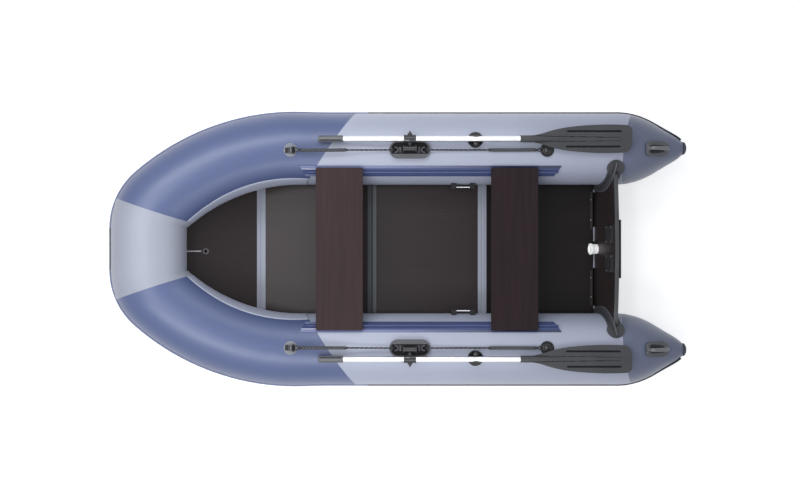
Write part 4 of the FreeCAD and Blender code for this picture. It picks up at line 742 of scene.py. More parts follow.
def film_ply(name, colour, along, roughness=0.36, streaks=1.0, level=0.5):
    """Plywood under a brown resin film: the grain below just shows, and the film is slightly pitted."""
    material, tree, surface, spot = shader(name, colour, roughness, Specular_IOR_Level=level)
    grain = drawn_out(tree, spot, along, fine=70.0, coarse=3.0, detail=5.0)
    pits = noise(tree, spot, 260.0)
    veined = tinted(tree, grain, shaded(colour, 1 - 0.22 * streaks), shaded(colour, 1 + 0.22 * streaks))
    patches = tinted(tree, noise(tree, spot, 2.2), (0.84, 0.84, 0.84, 1), (1.1, 1.1, 1.1, 1))
    feed(tree, surface, Base_Color=tinted(tree, 1.0, veined, patches, "MULTIPLY"),
         Roughness=stretched(tree, pits, roughness - 0.08, roughness + 0.12),
         Normal=relief(tree, (grain, 0.0006, 0.25), (pits, 0.0004, 0.3)))
    return material


def metal(name, colour, roughness, along):
    """Drawn or extruded aluminium, with fine lines along its length."""
    material, tree, surface, spot = shader(name, colour, roughness, Metallic=1.0)
    lines = drawn_out(tree, spot, along, fine=900.0, coarse=8.0)
    dull = stretched(tree, noise(tree, spot, 14.0, detail=4.0), roughness - 0.06, roughness + 0.1)
    feed(tree, surface, Base_Color=tinted(tree, lines, shaded(colour, 0.9), shaded(colour, 1.05)),
         Roughness=dull, Normal=relief(tree, (lines, 0.0002, 0.3)))
    return material


def finish(material, *nodes):
    """Gives a material to CAD nodes whose shape is right as it is."""
    for node in nodes:
        dressed(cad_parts[node].data, material)


def opened_node(name):
    """A copy of a CAD node's mesh laid open for work, its loose triangles merged."""
    work = opened(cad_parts[name].data)
    bmesh.ops.remove_doubles(work, verts=work.verts[:], dist=WELD)
    return work


def bar(name, start, end, half, rise, material):
    """A flat bar with chamfered edges, lying on the line from start to end."""
    start, end = Vector(start), Vector(end)
    side = (end - start).cross(upward).normalized() * half
    rows = [[point + side * across + upward * rise * up for across, up in BAR_SECTION]
            for point in (start, end)]
    return grid(name, rows, material, smooth=False)


finish(film_ply("floor_film", FLOOR_FILM, "X", roughness=0.3, level=0.26),
       "floor_panel_middle", "floor_panel_fore", "floor_panel_bow")
# The stern panel's film is a darker copy of the other panels' film: painted shade.
finish(film_ply("floor_film_aft", FLOOR_FILM_SHADED, "X", roughness=0.3, level=0.16), "floor_panel_stern")
strip_fabric = coated_fabric("strip_fabric", STRIP_GREY, roughness=0.55)
strip_work = opened_node("floor_hinge_strips")
for hinge in (STERN_HINGE_X, BOW_HINGE_X):
    for offset in [side * line for line in STRIP_LINES for side in (-1, 1)] + [FOLD_CUT]:
        sliced(strip_work, (hinge + offset, 0, 0), (1, 0, 0))
for vert in strip_work.verts:
    gap = min(abs(vert.co.x - STERN_HINGE_X), abs(vert.co.x - BOW_HINGE_X))
    if vert.normal.z > STRIP_TOP_NORMAL and gap < FOLD_HALF:
        vert.co.z -= FOLD_DEPTH
    if vert.normal.z > STRIP_TOP_NORMAL and abs(gap - STRIP_LINES[1]) < RIDGE_HALF:
        vert.co.z += RIDGE_HEIGHT
strip_mesh = dressed(closed(strip_work, "hinge_strip_fabric"), strip_fabric)
for face in strip_mesh.polygons:
    face.use_smooth = False
shown("hinge_strip_fabric", strip_mesh, "hull", "fabric_grey", "floor_hinge_strips")
finish(metal("aluminium_dark", ALUMINIUM_DARK, roughness=0.42, along="Y"), "floor_joiner")
# A thin strip of near-black aluminium along the joiner's middle is painted shade for its groove.
aluminium_groove = metal("aluminium_groove", ALUMINIUM_GROOVE_SHADE, roughness=0.5, along="Y")
joiner_bead = bar("joiner_bead", *JOINER_GROOVE, aluminium_groove)
shown("joiner_bead", joiner_bead, "hull", "aluminium_dark")
finish(moulded("ring_plastic", RING_GREY, roughness=0.4), "keel_valve")
# A pale strip laid in the keel valve's slot, paler than the fabric, makes the slot read bright: painted
# light.
slot_lining = bar("slot_lining", *SLOT_LIGHT_BAR, coated_fabric("lining_fabric", SLOT_LIGHT_PALE, roughness=0.5))
shown("slot_lining", slot_lining, "hull", "fabric_grey")

# Transom: a dark film-faced plywood board that leans aft between the tubes, under a pressed-on channel.
# Moulded rubber holders grip its sides, plates guard it where a motor clamps on, and a drain runs through it.
TRANSOM_FILM = paint(38, 30, 30)
PLATE_BLACK = paint(44, 44, 46)
HOLDER_RUBBER = paint(62, 63, 67)
LIP_HIGHLIGHT = paint(92, 93, 97)
TRIM_RUBBER = paint(74, 75, 78)
TRIM_SHARE = 0.73
VALVE_WHITE = paint(250, 250, 250)
VALVE_MIDDLE = Vector((-1.1146, 0, 0.1351))
VALVE_PROFILE = (
    (-0.0395, 0.004), (-0.0395, 0.017), (-0.0055, 0.017), (-0.0055, 0.0262), (-0.004, 0.0276),
    (0.006, 0.0278), (0.0068, 0.0272), (0.008, 0.0272), (0.0088, 0.0281), (0.0165, 0.0284),
    (0.0173, 0.0277), (0.0185, 0.0277), (0.0193, 0.0288), (0.027, 0.0302), (0.033, 0.0326),
    (0.0375, 0.0328), (0.0398, 0.0312), (0.0398, 0.0288), (0.036, 0.0262), (0.033, 0.0235),
    (0.0325, 0.012), (0.0325, 0.002))
PLATE_HALF = 0.1625
PLATE_EDGE = ((-0.0335, 0.352), (-0.039, 0.352), (-0.039, 0.385), (-0.038, 0.387), (-0.0335, 0.387))
LIP_ANGLES = (24, 118)
LIP_REACH = (0.001, 0.0405)
LIP_THICKNESS = 0.0045
LIP_BEAD = 0.003
LIP_ROOT = 0.0002
LIP_ROOT_EXTRA = 0.006
BEAD_SHARE = 0.7
SEAL_SPANS = ((0.11, 0.028), (-0.044, -0.128), (0.345, 0.331), (-0.331, -0.345))
SEAL_PLACE = (-1.1087, 0.0925)
SEAL_SIZE = (0.0042, 0.0012)
TRANSOM_FOOT = Vector((-1.097, 0, 0))
TRANSOM_LEAN = math.radians(10)
SCREW_RADIUS = 0.0042
SCREW_RISE = 0.45
SCREWS = [(0.012, y, height) for y in (-0.121, -0.041, 0.041, 0.121) for height in (0.294, 0.358)]
SCREWS += [(-0.033, y, height) for y in (-0.148, 0, 0.148) for height in (0.236, 0.358)]
SCREW_GREY = paint(176, 178, 182)
board_up = circled(upward, Vector((-1, 0, 0)), TRANSOM_LEAN)
board_out = circled(Vector((1, 0, 0)), upward, TRANSOM_LEAN)
holder_rubber = moulded("holder_rubber", HOLDER_RUBBER, roughness=0.45)
plate_plastic = moulded("plate_plastic", PLATE_BLACK, roughness=0.45)
finish(film_ply("transom_film", TRANSOM_FILM, "Y", roughness=0.4), "transom")
finish(holder_rubber, "transom_holders")
finish(plate_plastic, "motor_plates")


def on_board(forward, y, height):
    """A point on the transom, so far forward of its inner face and at a true height."""
    return TRANSOM_FOOT + board_out * forward + board_up * (height / math.cos(TRANSOM_LEAN)) + to_port * y


# The drain valve's white plastic also glows faintly, though it is no lamp: painted light.
valve_plastic = moulded("valve_plastic", VALVE_WHITE, roughness=0.3, grain=500.0, depth=0.0001, glow=0.26)
drain_valve = spun("drain_valve_cup", VALVE_MIDDLE, board_out, VALVE_PROFILE, valve_plastic)
shown("drain_valve_cup", drain_valve, "hull", "plastic_white", "drain_valve")

# The trim is the CAD channel made thinner about the board's middle. The holders' lips run down the
# board's inner face beside each tube, with a bead along their free edge in a paler copy of the holder rubber:
# a painted highlight.
trim_work = opened_node("transom_trim")
trim_depths = [(vert.co - TRANSOM_FOOT).dot(board_out) for vert in trim_work.verts]
trim_middle = (min(trim_depths) + max(trim_depths)) / 2
for vert, depth in zip(trim_work.verts, trim_depths):
    vert.co -= board_out * (depth - trim_middle) * (1 - TRIM_SHARE)
trim_channel = dressed(closed(trim_work, "trim_channel"), moulded("trim_rubber", TRIM_RUBBER, roughness=0.45))
shown("trim_channel", trim_channel, "hull", "rubber_dark", "transom_trim")
plate_rows = [[on_board(forward, y, height) for forward, height in PLATE_EDGE]
              for y in (-PLATE_HALF, PLATE_HALF)]
shown("plate_edge", grid("plate_edge", plate_rows, plate_plastic, smooth=False), "hull", "plastic_black")


def beside_tube(angle, reach, forward):
    """A point on the board's inner face, an angle inboard of the tube's crown and so far off the tube."""
    turn = math.radians(angle)
    height = TUBE_RADIUS + (TUBE_RADIUS + reach) * math.cos(turn)
    return on_board(forward, TUBE_Y - (TUBE_RADIUS + reach) * math.sin(turn), height)


near, far = LIP_REACH
lip_section = ((near, LIP_ROOT), (near, LIP_THICKNESS + LIP_ROOT_EXTRA), (far, LIP_THICKNESS),
               (far, LIP_ROOT))
lip_angles = spread(*LIP_ANGLES, 34)
lip_rows = [[beside_tube(angle, reach, forward) for reach, forward in lip_section] for angle in lip_angles]
lip_line = [beside_tube(angle, far, LIP_THICKNESS * BEAD_SHARE) for angle in lip_angles]
lip_rubber = moulded("lip_rubber", LIP_HIGHLIGHT, roughness=0.4)
lip_bead = sheath("lip_bead", lip_line, [LIP_BEAD] * len(lip_line), lip_rubber, segments=10)
holder_lip = joined("holder_lip", [grid("holder_lip", lip_rows, holder_rubber, smooth=False), lip_bead])
both_sides("holder_lip", holder_lip, "rubber_dark")
seal_x, seal_z = SEAL_PLACE
seals = [bar("floor_seal", (seal_x, start, seal_z), (seal_x, end, seal_z), *SEAL_SIZE, strip_fabric)
         for start, end in SEAL_SPANS]
shown("floor_seal", joined("floor_seal", seals), "hull", "fabric_grey")


def screw_tree():
    """A low domed head on every point, turned to that point's aim."""
    tree, given, result = new_tree("screw_heads", (
        ("Head Radius", "Float"), ("Head Rise", "Float"), ("Finish", "Material")))
    ball = put(tree, "GeometryNodeMeshUVSphere", Segments=14, Rings=8, Radius=given["Head Radius"])
    flat = put(tree, "ShaderNodeCombineXYZ", X=1.0, Y=1.0, Z=given["Head Rise"])
    squat = put(tree, "GeometryNodeTransform", Geometry=ball, Scale=flat)
    aim = put(tree, "GeometryNodeInputNamedAttribute", {"data_type": "FLOAT_VECTOR"}, Name="aim")
    turn = put(tree, "FunctionNodeAlignRotationToVector", {"axis": "Z"}, Vector=aim.outputs["Attribute"])
    heads = put(tree, "GeometryNodeInstanceOnPoints", Points=given["Geometry"], Instance=squat, Rotation=turn)
    return ended(tree, heads, given, result)


screw_heads = screw_tree()


def screws(name, places, radius, rise, material):
    """Screw heads at places, each a point and a direction."""
    start = bpy.data.meshes.new(name + "_points")
    start.from_pydata([tuple(point) for point, aim in places], [], [])
    aims = start.attributes.new("aim", "FLOAT_VECTOR", "POINT")
    aims.data.foreach_set("vector", [number for point, aim in places for number in aim])
    return grown(name, start, screw_heads, Head_Radius=radius, Head_Rise=rise, Finish=material)


steel = metal("screw_steel", SCREW_GREY, roughness=0.3, along="Z")
board_spots = [(on_board(*place), board_out if place[0] > 0 else -board_out) for place in SCREWS]
plate_screws = screws("plate_screws", board_spots, SCREW_RADIUS, SCREW_RISE, steel)
shown("plate_screws", plate_screws, "hull", "aluminium_bright")

# Seat rails: extruded PVC strips glued along the inner shoulder of the tubes, each with a round rib that
# the benches run on. Paler strips laid on them are painted sheen that fades aft, with a thin painted
# highlight at the fore end. Their ends are cut slantwise.
RAIL_BLUE = paint(66, 78, 122)
RAIL_SHEEN = paint(124, 132, 170)
RAIL_SHEEN_AFT = paint(56, 62, 92)
RAIL_SHEEN_FADE = (-0.6, 0.1)
RAIL_GLINT = paint(214, 217, 236)
RAIL_ANGLES = (33, 53)
RAIL_FORE_CUT = (0.628, 0.579)
RAIL_AFT_CUT = (-0.873, -0.838)
RAIL_FOOT = 0.0003
RAIL_THICKNESS = 0.004
SHEEN_ANGLES = (32.6, 36.6)
SHEEN_LIFT = 0.0047
GLINT_ANGLES = (37.4, 38.7)
GLINT_LIFT = 0.0051
LIP_SHEEN_BAND = (48.4, 52.6)
GLINT_FROM = 0.79
RIB_ANGLE = 43
RIB_RADIUS = 0.006
RIB_LIFT = 0.010
RIB_SPAN = (-0.858, 0.577)
NECK_SECTION = ((-0.55, 0.003), (-0.55, RIB_LIFT), (0.55, RIB_LIFT), (0.55, 0.003))

tube_lengths = [0.0]
for near, far in zip(tube_stations, tube_stations[1:]):
    tube_lengths.append(tube_lengths[-1] + (far[0] - near[0]).length)
side_start = next(index for index, station in enumerate(tube_stations) if station[0].x >= -1)
length_zero = tube_lengths[side_start] - tube_stations[side_start][0].x


def tube_at(length):
    """The tube's station at a length along its middle line, which is X on the level side."""
    wanted = length + length_zero
    for index, (back, front) in enumerate(zip(tube_lengths, tube_lengths[1:])):
        if wanted <= front:
            share = (wanted - back) / (front - back)
            low, high = tube_stations[index], tube_stations[index + 1]
            return (low[0].lerp(high[0], share), low[1].lerp(high[1], share).normalized(),
                    low[2].lerp(high[2], share).normalized(), low[3] + (high[3] - low[3]) * share)


def rail_strip(name, band, lift, material, begin=0.0):
    """A flat strip along the rail between two angles, from a share of its length, its ends cut aslant."""
    low, high = RAIL_ANGLES
    angles = spread(*band, 7)
    cuts = [[first + (last - first) * (angle - low) / (high - low) for angle in angles]
            for first, last in (RAIL_AFT_CUT, RAIL_FORE_CUT)]
    rows = []
    for share in spread(begin, 1, 60):
        places = [(tube_at(back + (front - back) * share), angle)
                  for back, front, angle in zip(*cuts, angles)]
        top = [tube_spot(station, angle, lift) for station, angle in places]
        under = [tube_spot(station, angle, RAIL_FOOT) for station, angle in places]
        rows.append(top + under[::-1])
    return grid(name, rows, material, smooth=False)


rail_blue = moulded("rail_blue", RAIL_BLUE, roughness=0.42, grain=300.0, depth=0.0002)
rail_edge = moulded("rail_edge", RAIL_SHEEN, roughness=0.4, grain=300.0, depth=0.0002)
# The sheen strips' colour runs from light at the fore end to dark aft: painted sheen, strongest towards the
# bow.
sheen_tree = rail_edge.node_tree
sheen_place = put(sheen_tree, "ShaderNodeTexCoord").outputs["Object"]
sheen_spot = put(sheen_tree, "ShaderNodeSeparateXYZ", Vector=sheen_place)
sheen_fade = put(sheen_tree, "ShaderNodeMapRange", Value=sheen_spot.outputs["X"], From_Min=RAIL_SHEEN_FADE[0],
                From_Max=RAIL_SHEEN_FADE[1])
sheen_surface = next(node for node in sheen_tree.nodes if node.type == "BSDF_PRINCIPLED")
feed(sheen_tree, sheen_surface, Base_Color=tinted(sheen_tree, sheen_fade, RAIL_SHEEN_AFT, RAIL_SHEEN))
# A thin near-white strip along the fore part of each rail is a painted highlight.
rail_line = moulded("rail_line", RAIL_GLINT, roughness=0.35, grain=300.0, depth=0.0001)
rib_line = [tube_at(length) for length in spread(*RIB_SPAN, 70)]
rail_rib = sheath("rail_rib", [tube_spot(station, RIB_ANGLE, RIB_LIFT) for station in rib_line],
                  [RIB_RADIUS] * len(rib_line), rail_blue, segments=14)
neck_rows = [[tube_spot(station, RIB_ANGLE + turn, lift) for turn, lift in NECK_SECTION]
             for station in rib_line]
rail_pieces = [rail_strip("rail_body", RAIL_ANGLES, RAIL_THICKNESS, rail_blue), rail_rib,
               grid("rail_neck", neck_rows, rail_blue, smooth=False)]
sheen_pieces = [rail_strip("rail_weld", SHEEN_ANGLES, SHEEN_LIFT, rail_edge),
               rail_strip("rail_bead", GLINT_ANGLES, GLINT_LIFT, rail_line, GLINT_FROM),
               rail_strip("rail_lip", LIP_SHEEN_BAND, SHEEN_LIFT, rail_edge, GLINT_FROM)]
both_sides("rail_strip", joined("rail_strip", rail_pieces), "rubber_blue", "seat_rail")
both_sides("rail_weld", joined("rail_weld", sheen_pieces), "rubber_blue")

# Benches: two plywood boards under a brown film, with rounded corners and broken edges. Each sits on
# moulded tracks that grip the ribs of the seat rails, so that it slides fore and aft.
# The rear bench's film colour is a darker copy of the front one's: painted shade.
BENCHES = {
    "bench_front": (0.356, "bench_film_front", paint(60, 48, 49), 0.08),
    "bench_rear": (-0.613, "bench_film_rear", paint(46, 37, 39), 0.07),
}
BENCH_HALF_LENGTH = 0.448
BENCH_HALF_WIDTH = 0.13
BENCH_TOP = 0.3924
BENCH_UNDERSIDE = 0.3774
BOARD_CORNER = 0.005
BOARD_CHAMFER = 0.0014
TRACK_BLACK = paint(40, 40, 43)


def board(name, middle, material):
    """A board with rounded corners, its upper and lower edges broken by a small chamfer."""
    corners = []
    for side_x, side_y, start in ((1, 1, 0), (-1, 1, 90), (-1, -1, 180), (1, -1, 270)):
        for turn in [math.radians(angle) for angle in spread(start, start + 90, 5)]:
            corners.append((side_x * (BENCH_HALF_WIDTH - BOARD_CORNER) + BOARD_CORNER * math.cos(turn),
                            side_y * (BENCH_HALF_LENGTH - BOARD_CORNER) + BOARD_CORNER * math.sin(turn)))
    rows = []
    for inset, height in ((BOARD_CHAMFER, BENCH_UNDERSIDE), (0, BENCH_UNDERSIDE + BOARD_CHAMFER),
                          (0, BENCH_TOP - BOARD_CHAMFER), (BOARD_CHAMFER, BENCH_TOP)):
        narrow, short = 1 - inset / BENCH_HALF_WIDTH, 1 - inset / BENCH_HALF_LENGTH
        rows.append([Vector((middle + x * narrow, y * short, height)) for x, y in corners])
    return grid(name, rows, material, smooth=False)


finish(moulded("plastic_black", TRACK_BLACK, roughness=0.42), "bench_front_tracks", "bench_rear_tracks")
for bench, (middle, film_name, colour, level) in BENCHES.items():
    film = film_ply(film_name, colour, "Y", roughness=0.42, streaks=1.2, level=level)
    shown(bench + "_board", board(bench + "_board", middle, film), bench, "bench_wood", bench)

# Floor cleats: two battens of dark film-faced plywood, one on either side of the drain valve. They are
# screwed down over the aft edge of the floor, close to the transom.
CLEAT_FILM = paint(26, 24, 24)
CLEAT_X = -1.0935
CLEAT_SPANS = ((0.127, 0.33), (-0.33, -0.115))
CLEAT_HALF = 0.0075
CLEAT_RISE = 0.005
FLOOR_TOP = 0.095
CLEAT_SCREW_X = -1.0905
CLEAT_SCREW_SHARES = (0.2, 0.75)
CLEAT_SCREW_RADIUS = 0.0032
CLEAT_SCREW_RISE = 0.4
cleat_film = film_ply("cleat_film", CLEAT_FILM, "Y", roughness=0.4)
cleats = [bar("cleat", (CLEAT_X, start, FLOOR_TOP), (CLEAT_X, end, FLOOR_TOP), CLEAT_HALF, CLEAT_RISE,
              cleat_film) for start, end in CLEAT_SPANS]
shown("floor_cleats", joined("floor_cleats", cleats), "hull", "floor_wood")
cleat_spots = [(Vector((CLEAT_SCREW_X, start + (end - start) * share, FLOOR_TOP + CLEAT_RISE)), upward)
               for start, end in CLEAT_SPANS for share in CLEAT_SCREW_SHARES]
cleat_screws = screws("cleat_screws", cleat_spots, CLEAT_SCREW_RADIUS, CLEAT_SCREW_RISE, steel)
shown("cleat_screws", cleat_screws, "hull", "aluminium_bright")

# Rope eyes: a round welded patch on each tube at either end of the lifeline. The fore ones are grey fabric
# under a dark strap, the aft ones black rubber with a stud. The towing eye under the nose is black too.
PATCH_GREY = paint(138, 142, 150)
EYE_BLACK = paint(40, 40, 43)
STUD_BLACK = paint(22, 22, 24)
FORE_EYE_STATION = 0.12
AFT_EYE_X = -0.79
EYE_ANGLE = 7
RIM_LIFT = 0.003
FORE_RIM = (0.036, 0.0014)
AFT_RIM = (0.0345, 0.0022)
STRAP_HALF = 0.0145
STRAP_FOOT = 0.0045
STRAP_ARCH = (
    (-0.030, 0), (-0.0285, 0.0036), (-0.020, 0.0052), (-0.014, 0.0100), (-0.006, 0.0122), (0.003, 0.0122),
    (0.010, 0.0104), (0.0155, 0.0052), (0.024, 0.0036), (0.0255, 0))
STUD_FOOT = 0.0025
STUD_PROFILE = (
    (0, 0.025), (0.003, 0.025), (0.0045, 0.0235), (0.0045, 0.0205), (0.0035, 0.019), (0.0055, 0.0175),
    (0.0095, 0.0145), (0.0125, 0.0095), (0.0138, 0.004), (0.014, 0.0005))
eye_black = moulded("eye_black", EYE_BLACK, roughness=0.26, level=0.3)
patch_grey = coated_fabric("patch_grey", PATCH_GREY, roughness=0.5)
finish(patch_grey, "fore_rope_eyes")
finish(eye_black, "aft_rope_eyes", "towing_eye")
fore_tube = (*bow_station(FORE_EYE_STATION), bow_up, TUBE_RADIUS)
aft_tube = tube_at(AFT_EYE_X)


def local_axes(tube):
    """An eye's middle on the tube's skin, the way out of it, and the way across it towards the outside."""
    centre, out, up, radius = tube
    turn = math.radians(EYE_ANGLE)
    normal = circled(up, -out, turn)
    return centre + normal * radius, normal, circled(out, up, turn)


def disc_rim(name, tube, radius, wire, material):
    """A raised round rim on an eye's patch."""
    foot, normal, across = local_axes(tube)
    points = [foot + normal * RIM_LIFT + circled(across, normal.cross(across), turn, radius)
              for turn in spread(0, 2 * math.pi, 41)]
    return sheath(name, points, [wire] * len(points), material, segments=8)


fore_base, fore_normal, fore_across = local_axes(fore_tube)
aft_base, aft_normal, aft_across = local_axes(aft_tube)
fore_along = fore_normal.cross(fore_across)
strap_rows = [[fore_base + fore_normal * (STRAP_FOOT + rise) + fore_across * offset + fore_along * shift
               for shift, rise in STRAP_ARCH] for offset in spread(-STRAP_HALF, STRAP_HALF, 7)]
both_sides("fore_strap", grid("fore_strap", strap_rows, eye_black, smooth=False), "plastic_black")
both_sides("fore_eye_rim", disc_rim("fore_eye_rim", fore_tube, *FORE_RIM, patch_grey), "fabric_grey")
both_sides("aft_eye_rim", disc_rim("aft_eye_rim", aft_tube, *AFT_RIM, eye_black), "plastic_black")
stud_black = moulded("stud_black", STUD_BLACK, roughness=0.08, grain=500.0, depth=0.0, level=0.7)
aft_stud = spun("aft_stud", aft_base + aft_normal * STUD_FOOT, aft_normal, STUD_PROFILE, stud_black)
both_sides("aft_stud", aft_stud, "plastic_black")

# Lifelines: laid rope in dark and pale strands, from the fore eye through the oarlock's ears to the aft
# eye. Each end is turned back along itself, so that the rope looks twice as thick there.
ROPE_DARK = paint(30, 30, 33)
ROPE_PALE = paint(112, 114, 118)
ROPE_SAG = 0.006
SPLIT_SAG = 0.0036
STRAND_STEPS = 9
THIN_ROPE = (3, 0.0024, 0.0026, 0.026)
DOUBLED_ROPE = (4, 0.0037, 0.0062, 0.034)
BIGHT_ROPE = (3, 0.002, 0.0021, 0.016)
BIGHT_SAG = -0.002
BIGHT_LIFT = 0.0085
FORE_BIGHT = (-0.0105, 0.0195)
AFT_BIGHT = (0.0305, 0.013)
WHIPPING_STEPS = 12
WHIPPING_PITCH = 1.9
SPLIT_WHIPPING = (4, 0.0066, 0.0014)
END_WHIPPING = (3, 0.0058, 0.0026)
END_WHIPPING_STEP = 0.006
FORE_ROPE = (Vector((0.566, 0.5399, 0.451)), Vector((0.0547, 0.5445, 0.4222)))
AFT_ROPE = (Vector((-0.1202, 0.5445, 0.4222)), Vector((-0.727, 0.5447, 0.4137)))
FORE_DOUBLED_TO = 0.32
AFT_DOUBLED_FROM = -0.473


def fibre(name, colour):
    """Laid polypropylene rope: matt, with fine hairs along the strand."""
    material, tree, surface, spot = shader(name, colour, 0.75, Specular_IOR_Level=0.3)
    hairs = drawn_out(tree, spot, "X", fine=900.0, coarse=160.0)
    feed(tree, surface, Base_Color=tinted(tree, hairs, shaded(colour, 0.7), shaded(colour, 1.3)),
         Normal=relief(tree, (hairs, 0.0004, 0.5)))
    return material


rope_dark = fibre("rope_dark", ROPE_DARK)
rope_pale = fibre("rope_pale", ROPE_PALE)


def laid_rope(name, start, end, sag, kind):
    """Strands twisted round a sagging line, every other one pale."""
    count, strand, offset, pitch = kind
    length = (end - start).length
    steps = max(int(length / pitch * STRAND_STEPS), 6)
    aim = (end - start).normalized()
    side = aim.cross(upward).normalized()
    meshes = []
    for number in range(count):
        points = []
        for share in spread(0, 1, steps):
            turn = 2 * math.pi * (length * share / pitch + number / count)
            middle = start.lerp(end, share) - upward * (sag * 4 * share * (1 - share))
            points.append(middle + circled(side, side.cross(aim), turn, offset))
        fibres = rope_pale if number % 2 else rope_dark
        meshes.append(sheath(name, points, [strand] * steps, fibres, segments=7))
    return meshes


def whipping(middle, aim, turns, radius, wire):
    """A few tight turns of dark cord round the rope."""
    side = aim.cross(upward).normalized()
    steps = turns * WHIPPING_STEPS
    points = [middle + aim * (share - 0.5) * turns * wire * WHIPPING_PITCH
              + circled(side, side.cross(aim), share * turns * 2 * math.pi, radius)
              for share in spread(0, 1, steps)]
    return sheath("whipping", points, [wire] * steps, rope_dark, segments=7)


def rope_run(ends, split, first, second):
    """A lifeline between two knots: of one thickness to a place along the boat and of another beyond it."""
    start, end = ends
    middle = start.lerp(end, (split - start.x) / (end.x - start.x)) - upward * SPLIT_SAG
    aim = (end - start).normalized()
    meshes = laid_rope("rope", start, middle, ROPE_SAG / 2, first)
    meshes += laid_rope("rope", middle, end, ROPE_SAG / 2, second)
    meshes.append(whipping(middle, aim, *SPLIT_WHIPPING))
    meshes.append(whipping(start + aim * END_WHIPPING_STEP, aim, *END_WHIPPING))
    meshes.append(whipping(end - aim * END_WHIPPING_STEP, aim, *END_WHIPPING))
    return meshes


def rope_loop(tip, base, normal, across, shift, reach):
    """The two legs of the bight that ties the rope's end to an eye."""
    foot = base + normal * BIGHT_LIFT + Vector((shift, 0, 0))
    return [strand for side in (-1, 1)
            for strand in laid_rope("bight", tip, foot + across * reach * side, BIGHT_SAG, BIGHT_ROPE)]


lifeline_meshes = (rope_run(FORE_ROPE, FORE_DOUBLED_TO, DOUBLED_ROPE, THIN_ROPE)
                   + rope_run(AFT_ROPE, AFT_DOUBLED_FROM, THIN_ROPE, DOUBLED_ROPE)
                   + rope_loop(FORE_ROPE[0], fore_base, fore_normal, fore_across, *FORE_BIGHT)
                   + rope_loop(AFT_ROPE[1], aft_base, aft_normal, aft_across, *AFT_BIGHT))
both_sides("lifeline", joined("lifeline", lifeline_meshes), "rope", "lifeline")

# Oarlocks: a long moulded pad glued on each tube, with two lugs and two rope ears. A barrel turns on a
# steel hinge pin between the lugs, and a pin through the oar's collar is kept by a knob and a wire loop.
LOCK_BLACK = paint(54, 54, 58)
LOCK_HIGHLIGHT = paint(86, 86, 92)
DISH_SHADE = paint(13, 13, 15)
HINGE = Vector((-0.032992, 0.550042, 0.435204))
PIN_ELEVATION = math.radians(20)
OAR_DISTANCE = 0.0546
PAD_MIDDLE = Vector((-0.033, 0.5451, 0.4172))
PAD_ANGLE = math.radians(6.78)
PAD_HALF = (0.113, 0.0485)
DISH_REACH = 0.0413
DISH_RISE = -0.001
RIM_RISE = 0.0006
LUG_BLOCK = (0.0345, 0.0665, 0.0165)
LUG_FOOT = -0.004
LUG_RISE = 0.0125
LUG_CUT = 0.08
LUG_FULLNESS = 0.6
LUG_BEVEL = (0.0015, 0.001)
ROPE_EAR = (0.0785, 0.0135, 0.0034)
EAR_TURN = math.pi * 0.62
EAR_RISE = 0.0005
SHELF_SPAN = (-0.0405, -0.0215)
SHELF_ROUND = 0.0412
SHELF_RISE = -0.0004
SHELF_THICKNESS = 0.003
LOOP_WIRE = 0.0012
LOOP_LINE = (
    (0, 0.0305, 0.004), (0.008, 0.037, 0.007), (0.022, 0.041, 0.011), (0.037, 0.036, 0.015),
    (0.045, 0.024, 0.019), (0.042, 0.01, 0.0225), (0.031, 0.001, 0.0235), (0.016, -0.003, 0.0235),
    (0.004, -0.002, 0.024))
lock_black = moulded("lock_black", LOCK_BLACK, roughness=0.24, level=0.45)
lock_rim = moulded("lock_rim", LOCK_HIGHLIGHT, roughness=0.34, level=0.4)
dish_black = moulded("dish_black", DISH_SHADE, roughness=0.3, level=0.15)
finish(lock_black, "oarlock_pin_port", "oarlock_pin_starboard", "oar_collar_port", "oar_collar_starboard")
pad_out = circled(upward, -to_port, PAD_ANGLE)
pad_across = circled(to_port, upward, PAD_ANGLE)
pin_way = circled(to_port, upward, PIN_ELEVATION)
blade_way = circled(upward, -to_port, PIN_ELEVATION)
oar_middle = HINGE + pin_way * OAR_DISTANCE


def in_dish(spot):
    """Whether a place on the pad lies inside its raised lip and low down."""
    offset = spot - PAD_MIDDLE
    along = max(abs(offset.x) - (PAD_HALF[0] - PAD_HALF[1]), 0)
    return math.hypot(along, offset.dot(pad_across)) < DISH_REACH and offset.dot(pad_out) < DISH_RISE


# Faces low inside the pad's lip take a near-black copy of the pad's plastic: painted shade in the recess.
lock_work = opened_node("oarlock_base_port")
for face in lock_work.faces:
    spot = face.calc_center_median()
    low = (spot - PAD_MIDDLE).dot(pad_out) < RIM_RISE
    face.material_index = 1 if in_dish(spot) else (2 if low else 0)
# Low faces outside the recess, the rope hoops and the shelf take a lighter copy of the pad's black plastic:
# painted highlight.
lock_mesh = closed(lock_work, "oarlock_pad", lock_black, dish_black, lock_rim)
both_sides("oarlock_pad", lock_mesh, "plastic_black", "oarlock_base")


def on_pad(along, across, rise):
    """A point over the oarlock's pad: so far forward, outboard and up from the middle of its top."""
    return PAD_MIDDLE + Vector((along, 0, 0)) + pad_across * across + pad_out * rise


def lug_section(share):
    """The section of a lug's block, as steps outboard and up, at a share of its length."""
    half, (inset, drop) = LUG_BLOCK[2], LUG_BEVEL
    swell = min(max(share * (1 + 2 * LUG_CUT) - LUG_CUT, 0), 1)
    rise = LUG_FOOT + LUG_RISE * math.sin(math.pi * swell) ** LUG_FULLNESS
    return ((-half, LUG_FOOT), (-half, rise - drop), (inset - half, rise), (half - inset, rise),
            (half, rise - drop), (half, LUG_FOOT))


